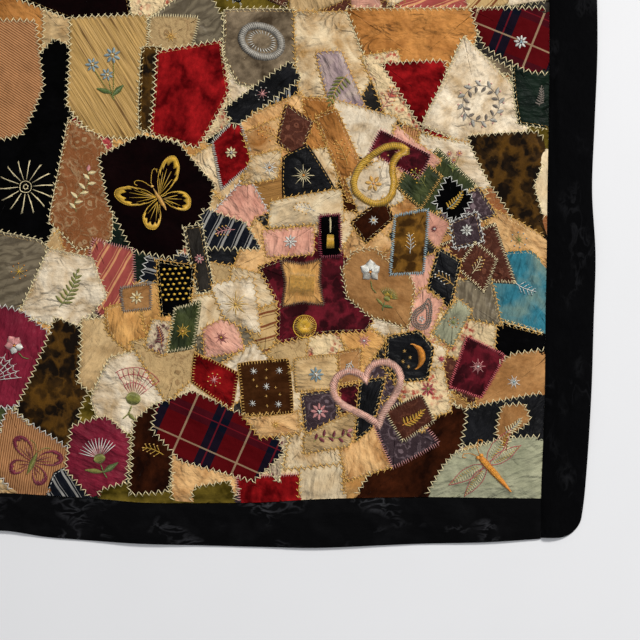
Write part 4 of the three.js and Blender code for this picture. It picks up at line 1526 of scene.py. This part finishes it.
def thistle(n):
    n.strokes(around(13, 8, 38, 104), around(13, 30, 30, 120), width=1.3)
    n.strokes(around(9, 7, 44, 92), around(9, 20, 40, 100), n.other, width=1.1)
    n.oval(1, 8, 7, 12, "olive", 1.4)
    n.stems([(0, -7), (1, -18), (4, -26)], "green", 1.5)
    n.leaf((1, -18), (-24, -10), 7, "olive")
    n.leaf((1, -19), (25, -9), 8, "green")


def crescent(n):
    angle = np.radians(np.linspace(-82, 82, 30))[:, None]
    outer = np.hstack([np.cos(angle) * 17, np.sin(angle) * 17])
    inner = np.hstack([np.cos(angle) * 8.5 - 0.5, np.sin(angle) * 16.6])
    n.fill(inner, outer, height=1.5)
    for x, y in [(-9, 9), (-13, -4), (-3, 0), (-7, -12)]:
        n.star((x, y), 3, 2.6, n.other, 0.8, 15)


def heart_ring(n):
    """A padded heart: across it is 16 times a sine cubed, and up it is a sum of four cosines."""
    t = np.linspace(0, 2 * np.pi, 90)[:-1]
    x = 16 * np.sin(t) ** 3
    y = 13 * np.cos(t) - 5 * np.cos(2 * t) - 2 * np.cos(3 * t) - np.cos(4 * t)
    n.band(np.stack([x, y + 2.5], 1) * 43 / 16, 9.4, height=1.7, groove="coral")


def drop_ring(n):
    """A padded paisley: a closed drop whose tip leans over, a flower inside it and knots round it."""
    drop = [(0, -26), (14, -23), (22, -12), (20, 2), (11, 14), (6, 24), (9, 36), (17, 41),
            (4, 42), (-8, 34), (-16, 20), (-22, 4), (-22, -12), (-14, -23)]
    n.band(curved(drop, True), 7.6, height=2.1, groove="bronze")
    n.flower((-1, -6), 6, 9, 4.4, 20, n.other, height=1.0)
    n.knots([(-1, -6)], "orange", 2.8)
    n.knots([(-3, 12), (-4, 20), (-1, 27)], n.other, 2.2)


def padded_ring(n):
    # The grey groove threads are painted shade between the ribs.
    n.band(around(60, 26, squash=0.72), 9.0, height=2.6, groove="grey")
    n.strokes(around(26, 12, squash=0.72), around(26, 19, 5, squash=0.72), n.other, width=1.0)


def web(n):
    tips = around(7, 30, 5, 80)
    n.strokes(np.zeros((7, 2)), tips, width=0.9)
    for share in (0.3, 0.5, 0.7, 0.9):
        bowed = []
        for k in range(13):
            middle = lerp(tips[k // 2], tips[min(k // 2 + k % 2, 6)], 0.5)
            bowed.append(middle * share * (0.88 if k % 2 else 1))
        n.stems(bowed, width=0.9)


def fan(n):
    start, end = around(9, 12, 40, 100), around(9, 52, 46, 88)
    n.strokes(start, lerp(start, end, 0.5), width=1.3)
    n.strokes(lerp(start, end, 0.5), end, width=1.3)
    for radius in (26, 40, 52):
        n.stems(around(20, radius, 44, 92), width=1.0)
    n.oval(0, 12, 11, 16, n.other, 1.6)
    n.stems([(0, -12), (-3, -26), (-10, -36)], n.other, 2.2)
    n.leaf((-4, -26), (12, -36), 7, n.other)


def wing_pair(n, line, veins, ends):
    """A wing outlined on both sides of the body, with its veins and a satin rim, which runs between
    two shares of the outline."""
    root, veins = np.asarray(line[0], float), np.asarray(veins, float)
    line = curved(line)
    first, last = (int(len(line) * share) for share in ends)
    rim = spaced(line[first:last], 44, False)
    pinch = 0.74 + 0.12 * np.abs(np.sin(np.linspace(0, np.pi * 6, 44)))[:, None]
    for side in (1, -1):
        flip = np.array([side, 1.0])
        n.stems(line * flip)
        n.strokes(np.tile(veins[0], (len(veins) - 1, 1)) * flip, veins[1:] * flip, width=1.0)
        n.fill(rim * flip, (root + (rim - root) * pinch) * flip, height=1.0)


def butterfly(n):
    wing_pair(n, [(2, 3), (10, 20), (26, 35), (42, 38), (46, 30), (42, 18), (32, 8), (18, 3), (3, 1)],
              [(3, 3), (14, 20), (21, 25), (28, 26), (31, 20), (27, 11)], (0.24, 0.8))
    wing_pair(n, [(3, 0), (18, -2), (30, -8), (34, -20), (27, -31), (18, -30), (10, -22), (4, -8)],
              [(4, -3), (22, -9), (24, -17), (18, -22), (11, -16)], (0.24, 0.8))
    n.leaf((0, -18), (0, 15), 5.5, n.other, 1.6)
    n.knots([(0, 17)], n.other, 4.2)
    n.feelers(curved([(1, 18), (5, 28), (13, 35), (17, 33), (15, 29)]), n.main, 0.95)


def moth(n):
    wing_pair(n, [(2, 4), (8, 18), (20, 25), (31, 22), (32, 13), (22, 5), (4, 1)],
              [(3, 3), (12, 15), (18, 16), (20, 10)], (0.2, 0.85))
    wing_pair(n, [(3, -1), (18, -3), (25, -11), (20, -22), (10, -21), (4, -8)],
              [(3, -3), (14, -9), (13, -15)], (0.2, 0.85))
    n.leaf((0, -15), (0, 14), 6.5, n.other, 1.8)
    n.feelers([(1, 14), (6, 22), (12, 24)], n.other, 0.9)


def dragonfly(n):
    """A long ribbed body, two pairs of narrow wings filled with feathery stitches, and feelers."""
    n.knots([(-3.0, 25), (3.0, 25)], n.main, 5.4)
    t = np.linspace(0, 1, 30)[:, None]
    half = 6.6 * np.sin(np.pi * (0.16 + 0.8 * t)) ** 0.6 * (1 - 0.5 * t)
    n.fill(np.hstack([-half, 24 - 70 * t]), np.hstack([half, 24 - 70 * t]), n.main, 1.8)
    for share in (-0.5, 0.0, 0.5):
        n.stems(np.hstack([share * half, 24 - 70 * t])[2:20], "yellow", 0.8, height=2.6)
    share = np.linspace(0, 1, 16)[:, None]
    for side in (1, -1):
        for base, tip, width in (((4, 12), (62, 24), 9.0), ((4, 6), (56, -4), 8.0)):
            base, tip = np.array(base) * (side, 1.0), np.array(tip) * (side, 1.0)
            bulge = width * np.sin(np.pi * share**0.75) * leftward(tip - base)
            middle = lerp(base, tip, share)
            for edge, name in ((bulge, "cream"), (-bulge, "yellow")):
                n.stems(middle + edge, n.other, 1.0)
                n.strokes(middle[2:15], (middle + 0.75 * edge)[2:15] + 0.04 * (tip - base), name, 0.8)
    n.feelers([(2, 27), (7, 38), (15, 44), (20, 41), (17, 37)], n.main, 1.0)


def pansy(n):
    for angle, reach, width in ((90, 17, 15), (150, 15, 14), (30, 15, 14), (225, 14, 12), (315, 14, 12)):
        tip = around(1, reach, angle)[0]
        n.leaf(tip * 0.15, tip, width, n.main if angle in (90, 150, 30) else n.other, 1.2)
    n.strokes(around(5, 1.5, 90), around(5, 8, 90), "yellow", 1.0)
    n.knots([(0, 0)], "orange", 3.2)
    n.stems([(0, -12), (2, -22), (7, -28)], "green", 1.3)


def sprig(n):
    """A bare branch with forked twigs and a knot at each tip."""
    t = np.linspace(0, 1, 6)[:, None]
    stem = np.hstack([3 * np.sin(3 * t), 34 * t - 17])
    n.stems(stem, width=1.0)
    for side in (1, -1):
        tips = stem[1:-1] + np.array([side * 9.0, 8.0]) * (1 - 0.5 * t[1:-1])
        n.strokes(stem[1:-1], tips, width=0.9)
        n.knots(tips, n.other, 1.9)
    n.knots(stem[-1:], n.other, 2.2)


def knot_drop(n):
    """Close rows of knots, one inside the other, round a drop with a flower in it."""
    drop = [(0, -26), (14, -21), (18, -7), (12, 8), (4, 22), (-6, 33), (-8, 18), (-15, 4),
            (-18, -10), (-12, -22)]
    line = curved(drop, True)
    for share in (1.0, 0.78, 0.56):
        row = (line + (0, 6)) * share - (0, 6)
        n.knots(spaced(row, int(length_of(row) / 3.1)), width=2.3)
    n.flower((0, -7), 5, 6, 3.4, 18, n.other, 0.2)


def tassel(n):
    n.band([(0, 6), (0, 26)], 3.0, "cream", 1.6, closed=False)
    t = np.linspace(-1, 1, 9)[:, None]
    n.fill(np.hstack([t * 5, 0 * t - 16]), np.hstack([t * 4, 0 * t + 3]), height=1.6)
    n.strokes([(-5, -2)], [(5, -2)], n.other, 1.4)


def lattice(n):
    rail = np.linspace(-15, 15, 21)[:, None]
    n.fill(np.hstack([rail, 0 * rail - 17]), np.hstack([rail, 0 * rail + 17]), height=0.8, close=1.0)
    n.stems(around(20, 9), n.other, 1.0, closed=True)
    n.strokes(around(6, 1), around(6, 7), n.other, 0.9)


def pad_wheel(n):
    """A round pad wound with close threads that cross at its middle."""
    rim = around(34, 13)
    n.strokes(rim, -rim * 0.15, width=1.5, height=1.5)
    n.stems(around(26, 13), width=1.6, closed=True)
    n.knots([(0, 0)], n.other, 3.0)


def vine(n):
    """A wavy stem with leaves to each side in turn and a bud at its end."""
    t = np.linspace(0, 1, 25)
    stem = np.stack([56 * t - 28, 5 * np.sin(2 * np.pi * t)], 1)
    n.stems(stem, n.other)
    for k, base in enumerate(stem[2:-1:3]):
        n.leaf(base, base + (5, 10 - 20 * (k % 2)), 5.2)
    n.leaf(stem[-1], stem[-1] + (9, 1), 6, "pink")


def wreath(n):
    """Leaves set round a ring, all leaning the same way, with buds between them."""
    n.stems(around(40, 24), n.other, 0.9, closed=True)
    for base, tip in zip(around(12, 24), around(12, 32, 14)):
        n.leaf(base, tip, 5.5)
    for base, tip in zip(around(12, 23, 15), around(12, 15, 28)):
        n.leaf(base, tip, 4.5, n.other)
    n.knots(around(12, 30, 2), "pink", 2.0)


# Motifs: kind, place in mm, turn in degrees, size, main and other thread.
MOTIFS = [
    (spokes, -98, -160, 5, 0.95, "cream", "cream"), (butterfly, 68, -174, 32, 1.0, "yellow", "gold"),
    (posy, 4, -22, 14, 1.35, "blue", "cream"), (vine, -28, -166, 74, 0.95, "cream", "olive"),
    (fronds, -48, -288, -20, 0.9, "olive", "green"), (web, -142, -402, 2, 1.3, "white", "pink"),
    (moth, -90, -504, -24, 1.05, "wine", "olive"), (fan, 36, -424, -12, 0.75, "rose", "olive"),
    (thistle, -6, -500, 12, 0.9, "white", "pink"), (padded_ring, 196, 22, -20, 1.0, "silver", "white"),
    (burst, 206, -136, 0, 0.9, "white", "orange"), (burst, 248, -146, 0, 1.3, "cream", "orange"),
    (drop_ring, 340, -150, -28, 1.2, "yellow", "gold"), (wreath, 470, -56, 0, 0.95, "silver", "grey"),
    (posy, 436, -128, -8, 0.6, "pink", "orange"), (tassel, 282, -222, 0, 0.9, "yellow", "rose"),
    (lattice, 247, -279, -4, 1.0, "gold", "brown"), (pad_wheel, 250, -334, 0, 1.1, "yellow", "gold"),
    (pansy, 332, -266, 0, 0.9, "white", "silver"), (thistle, 352, -300, -30, 0.5, "olive", "yellow"),
    (crescent, 384, -372, 10, 0.95, "orange", "gold"), (heart_ring, 332, -422, 16, 1.0, "peach", "peach"),
    (snow_rows, 202, -410, 0, 1.0, "white", "gold"), (burst, 164, -306, 0, 1.5, "yellow", "yellow"),
    (dots, 88, -281, 4, 0.8, "yellow", "yellow"), (dragonfly, 482, -512, 42, 0.84, "orange", "rose"),
    (daisy, 40, -298, 0, 0.8, "cream", "gold"), (knot_drop, 398, -320, -28, 0.72, "grey", "white"),
    (sprig, 424, -276, 60, 0.8, "gold", "white"), (sprig, 464, -258, -30, 0.7, "cream", "gold"),
    (burst, 146, -348, 0, 0.8, "wine", "yellow"), (daisy, 232, -228, 0, 0.8, "white", "white"),
    (burst, 324, -352, 0, 0.8, "pink", "white"), (vine, 282, -472, 18, 0.8, "wine", "olive"),
    (daisy, 264, -394, 0, 0.9, "blue", "white"), (sprig, 250, -188, 80, 0.8, "white", "gold"),
    (burst, 98, -340, 0, 0.9, "yellow", "gold"), (fronds, 542, -48, 0, 0.45, "grey", "grey"),
    (pansy, -112, -358, 30, 0.8, "pink", "white"), (sprig, 392, -150, 40, 0.8, "olive", "yellow"),
    (burst, 466, -384, 0, 0.9, "pink", "white"), (sprig, 206, -96, 70, 0.9, "gold", "orange"),
    (sprig, 296, -118, 26, 1.0, "gold", "gold"), (daisy, 452, -214, 0, 0.7, "white", "silver"),
    (daisy, 268, -440, 0, 1.0, "pink", "white"), (sprig, 352, -50, -30, 1.0, "rose", "orange"),
    (daisy, 404, -412, 0, 0.8, "rose", "olive"), (burst, 420, -375, 0, 0.5, "rose", "rose"),
]


def more_motifs(patches, relief):
    """Motifs in turn for the other patches, pale on dark cloth and dark on pale, each at the middle
    of its patch where that is in full view: small ones in the near corner, large ones elsewhere."""
    large = [daisy, posy, fronds, moth, wreath, burst, pansy, thistle, web, vine, crescent, sprig]
    small = [sprig, burst, fronds, daisy, snow]
    rng = np.random.default_rng(12)
    made = []
    for number, patch in enumerate(patches):
        x, y = patch.outline.mean(0)
        room = math.sqrt(abs(area_of(patch.outline)))
        about = around(8, room * 0.2) + (x, y)
        taken = min(math.hypot(x - row[1], y - row[2]) for row in MOTIFS)
        in_view = (relief.top_at(*about.T) == number).all()
        if room < (20 if patch.near else 40) or inward(x, y) < 20 or not in_view:
            continue
        if patch.near and (taken < 16 + room * 0.4 or room > 90):
            continue
        dark = sum(colour(CLOTHS[patch.cloth][0])[:3]) < 0.9
        mains = ["white", "cream", "yellow", "pink"] if dark else ["rose", "wine", "olive", "gold"]
        main = rng.choice(mains)
        other = rng.choice(["orange", "gold", "silver", "blue"])
        kinds = small if patch.near else large
        size = min(room / 75, 0.8 if patch.near else 1.3)
        turn = rng.uniform(0, 360)
        made.append((kinds[len(made) % len(kinds)], x, y, turn, size, str(main), str(other)))
    return made


class QUILT_OT_seam_stitches(bpy.types.Operator):
    """Fancy stitches over the seams, and the embroidered motifs, joined colour by colour"""

    bl_idname = "quilt.seam_stitches"
    bl_label = "Stitches"

    def execute(self, context):
        settings = context.scene.crazy_quilt
        patches, relief = quilt_top(settings.puff / MM)
        thread = Thread(relief, settings.thread / MM)
        rng = np.random.default_rng(45)
        for number, patch in enumerate(patches):
            sew_seam(thread, patch, number, rng, patch.trim, patch.thread)
            if patch.near and patch.trim in ("feather", "fly", "herringbone"):
                other = "cream" if patch.thread == "gold" else "gold"
                sew_seam(thread, patch, number, rng, "couching", other)
        for kind, x, y, turn, size, main, other in MOTIFS + more_motifs(patches, relief):
            kind(Needle(thread, (x, y, turn, size), main, other))
        thread.pieces()
        return {"FINISHED"}


def crown(t):
    """Height of the border from its seam at 0 to its rim at 1: half a wave up from the seam, and a
    quarter of an ellipse down to the folded rim."""
    fall = np.sqrt(np.maximum(0, 1 - (np.maximum(t - CROWN_END, 0) / (1 - CROWN_END)) ** 2))
    rise = smooth(t, 0, CROWN_START)
    return lerp(SEAM_HEIGHT, BORDER_HEIGHT, rise) - (BORDER_HEIGHT - RIM_HEIGHT) * (1 - fall)


def border_points(rows, ends, place, count):
    """Points of a border strip: a closed section carried along its edge. The section goes out over
    the crown, round the fold and back along the underside. A strip with free ends is rounded
    there, with stations closer together round each corner."""
    over = 0.5 - 0.5 * np.cos(np.linspace(0, np.pi, 25))
    t = np.r_[over, 1.0, np.linspace(1, 0, 7)]
    at = np.linspace(-LEVEL_END, LEVEL_END, count)[:, None]
    if ends:
        turn = np.sin(np.linspace(0, np.pi / 2, 13))
        low = ends[0] + CORNER_RADIUS * (1 - turn[::-1])
        high = ends[1] - CORNER_RADIUS * (1 - turn)
        at = np.r_[low[:-1], np.linspace(low[-1], high[0], count), high[1:]][:, None]
    rim = edge_value(rows, RIM, at)
    if ends:
        near_end = np.minimum(np.minimum(at - ends[0], ends[1] - at), CORNER_RADIUS)
        short = CORNER_RADIUS - near_end
        rim = rim - CORNER_RADIUS + np.sqrt(np.maximum(CORNER_RADIUS**2 - short**2, 0))
    out = lerp(edge_value(rows, SEAM, at) + SEAM_GAP / 2, rim, t[None])
    lifted = edge_value(rows, LIFT, at) * smooth(t, 0.4, 1)[None]
    x, y = place(at + 0 * out, out)
    upper = np.arange(len(t)) < len(over)
    fold = len(over)
    ripple = bells(CREASES, x, y) + 0.35 * value_noise(x, y, 26, 3)
    ripple = ripple + 0.5 * ridges(x + y, (y - x) / 3, 16, 5)
    ripple = ripple * smooth(t, 0, 0.08)[None] * (1 - 0.7 * smooth(t, 0.9, 1))[None]
    top = crown(t)[None] + lifted + ripple - 0.9 * (1 - smooth(t, 0, 0.05))[None]
    z = np.where(upper[None], top, np.maximum(0.05, lifted + 0.05))
    z[:, fold] = 0.5 * (z[:, fold - 1] + z[:, fold + 1])
    return np.stack([x, y, z], -1)


class QUILT_OT_border(bpy.types.Operator):
    """Velvet border in four strips"""

    bl_idname = "quilt.border"
    bl_label = "Border"

    def execute(self, context):
        """Each strip replaces its solid and has the same edges."""
        settings = context.scene.crazy_quilt
        shades = {"tint": (*settings.border, 1.0), "second": (*settings.border_shine, 1.0)}

        def level(side):
            def place(share, out):
                y = side * out
                left = -edge_value(LEFT_EDGE, SEAM, y) + SEAM_GAP / 2
                right = edge_value(RIGHT_EDGE, SEAM, y) - SEAM_GAP / 2
                return lerp(left, right, (share + LEVEL_END) / (2 * LEVEL_END)), y
            return place

        strips = [
            ("right", RIGHT_EDGE, RIGHT_ENDS, lambda at, out: (out, at), 320, True),
            ("left", LEFT_EDGE, LEFT_ENDS, lambda at, out: (-out, at), 220, False),
            ("lower", LOWER_EDGE, None, level(-1), 320, True),
            ("upper", UPPER_EDGE, None, level(1), 220, False),
        ]
        # Painted sheen: the wisps take the border's shine colour, more strongly on the lower and upper
        # strips.
        even = pile("border_velvet", 0.03, lambda s: wisps(s) * 0.35, False)
        crushed = pile("border_crushed_sheen_velvet", 0.045, lambda s: wisps(s) * 1.2, False)
        for name, rows, ends, place, count, forward in strips:
            points = border_points(rows, ends, place, count)
            stations, section = points.shape[:2]
            cap = np.arange(section)[None]
            body = grid_faces(stations, section, close=True)
            faces = [body, cap[:, ::-1], (stations - 1) * section + cap]
            if forward:
                faces = [face[:, ::-1] for face in faces]
            flat = points.reshape(-1, 3)
            uv = (flat[:, :2] if ends is None else flat[:, 1::-1]) * MM
            tints = {key: np.tile(value, (len(flat), 1)) for key, value in shades.items()}
            piece = add_piece("velvet_border_" + name, flat, faces, even if ends else crushed,
                              uv, tints, ["border_" + name])
        return {"FINISHED"}


class QUILT_OT_studio(bpy.types.Operator):
    """Pale floor, soft light and the camera straight above"""

    bl_idname = "quilt.studio"
    bl_label = "Studio"

    def execute(self, context):
        """The camera looks straight down on the lower right part of the quilt."""
        scene = context.scene
        camera = bpy.data.objects.new("camera", bpy.data.cameras.new("camera"))
        camera.data.sensor_width = SENSOR
        camera.data.lens = SENSOR * CAMERA_RISE / VIEW_WIDTH
        camera.location = FOCUS + Vector((0, 0, CAMERA_RISE))
        scene.collection.objects.link(camera)
        scene.camera = camera

        finish = Surface("floor_paper", **{"Roughness": 0.9, "Specular IOR Level": 0.1})
        tone = (*scene.crazy_quilt.floor, 1.0)
        finish.paint(finish.dim(tone, 0.985 + finish.body_noise(9.0, 3.0) * 0.03))
        mesh = bpy.data.meshes.new("floor")
        corners = [(-1, -1), (1, -1), (1, 1), (-1, 1)]
        mesh.from_pydata([(x * FLOOR_REACH, y * FLOOR_REACH, 0) for x, y in corners], [], [(0, 1, 2, 3)])
        mesh.materials.append(finish.material)
        floor = bpy.data.objects.new("floor", mesh)
        scene.collection.objects.link(floor)

        for name, offset, size, power, tone in LAMPS:
            lamp = bpy.data.objects.new(name, bpy.data.lights.new(name, "AREA"))
            lamp.data.size = size
            lamp.data.energy = power
            lamp.data.color = tone
            lamp.location = FOCUS + Vector(offset)
            lamp.rotation_euler = Vector(offset).to_track_quat("Z", "Y").to_euler()
            scene.collection.objects.link(lamp)
        world = bpy.data.worlds.new("studio")
        world.use_nodes = True
        background = world.node_tree.nodes["Background"]
        background.inputs["Color"].default_value = (0.93, 0.95, 1.0, 1.0)
        background.inputs["Strength"].default_value = 0.33
        scene.world = world
        scene.view_settings.view_transform = "Standard"
        return {"FINISHED"}


class QUILT_PT_panel(bpy.types.Panel):
    """Sizes and pieces of the quilt"""

    bl_label = "Crazy quilt"
    bl_space_type = "VIEW_3D"
    bl_region_type = "UI"
    bl_category = "Quilt"

    def draw(self, context):
        for key in QuiltSettings.__annotations__:
            self.layout.prop(context.scene.crazy_quilt, key)
        for kind in OPERATORS:
            self.layout.operator(kind.bl_idname)


OPERATORS = [QUILT_OT_foundation, QUILT_OT_patches, QUILT_OT_border, QUILT_OT_seam_stitches,
             QUILT_OT_studio]
CLASSES = [QuiltSettings, *OPERATORS, QUILT_PT_panel]


def register():
    for kind in CLASSES:
        bpy.utils.register_class(kind)
    bpy.types.Scene.crazy_quilt = bpy.props.PointerProperty(type=QuiltSettings)


def unregister():
    del bpy.types.Scene.crazy_quilt
    for kind in reversed(CLASSES):
        bpy.utils.unregister_class(kind)


def main():
    """Builds every piece in order."""
    register()
    bpy.ops.quilt.foundation()
    bpy.ops.quilt.patches()
    bpy.ops.quilt.border()
    bpy.ops.quilt.seam_stitches()
    bpy.ops.quilt.studio()
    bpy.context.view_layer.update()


if __name__ == "__main__":
    main()
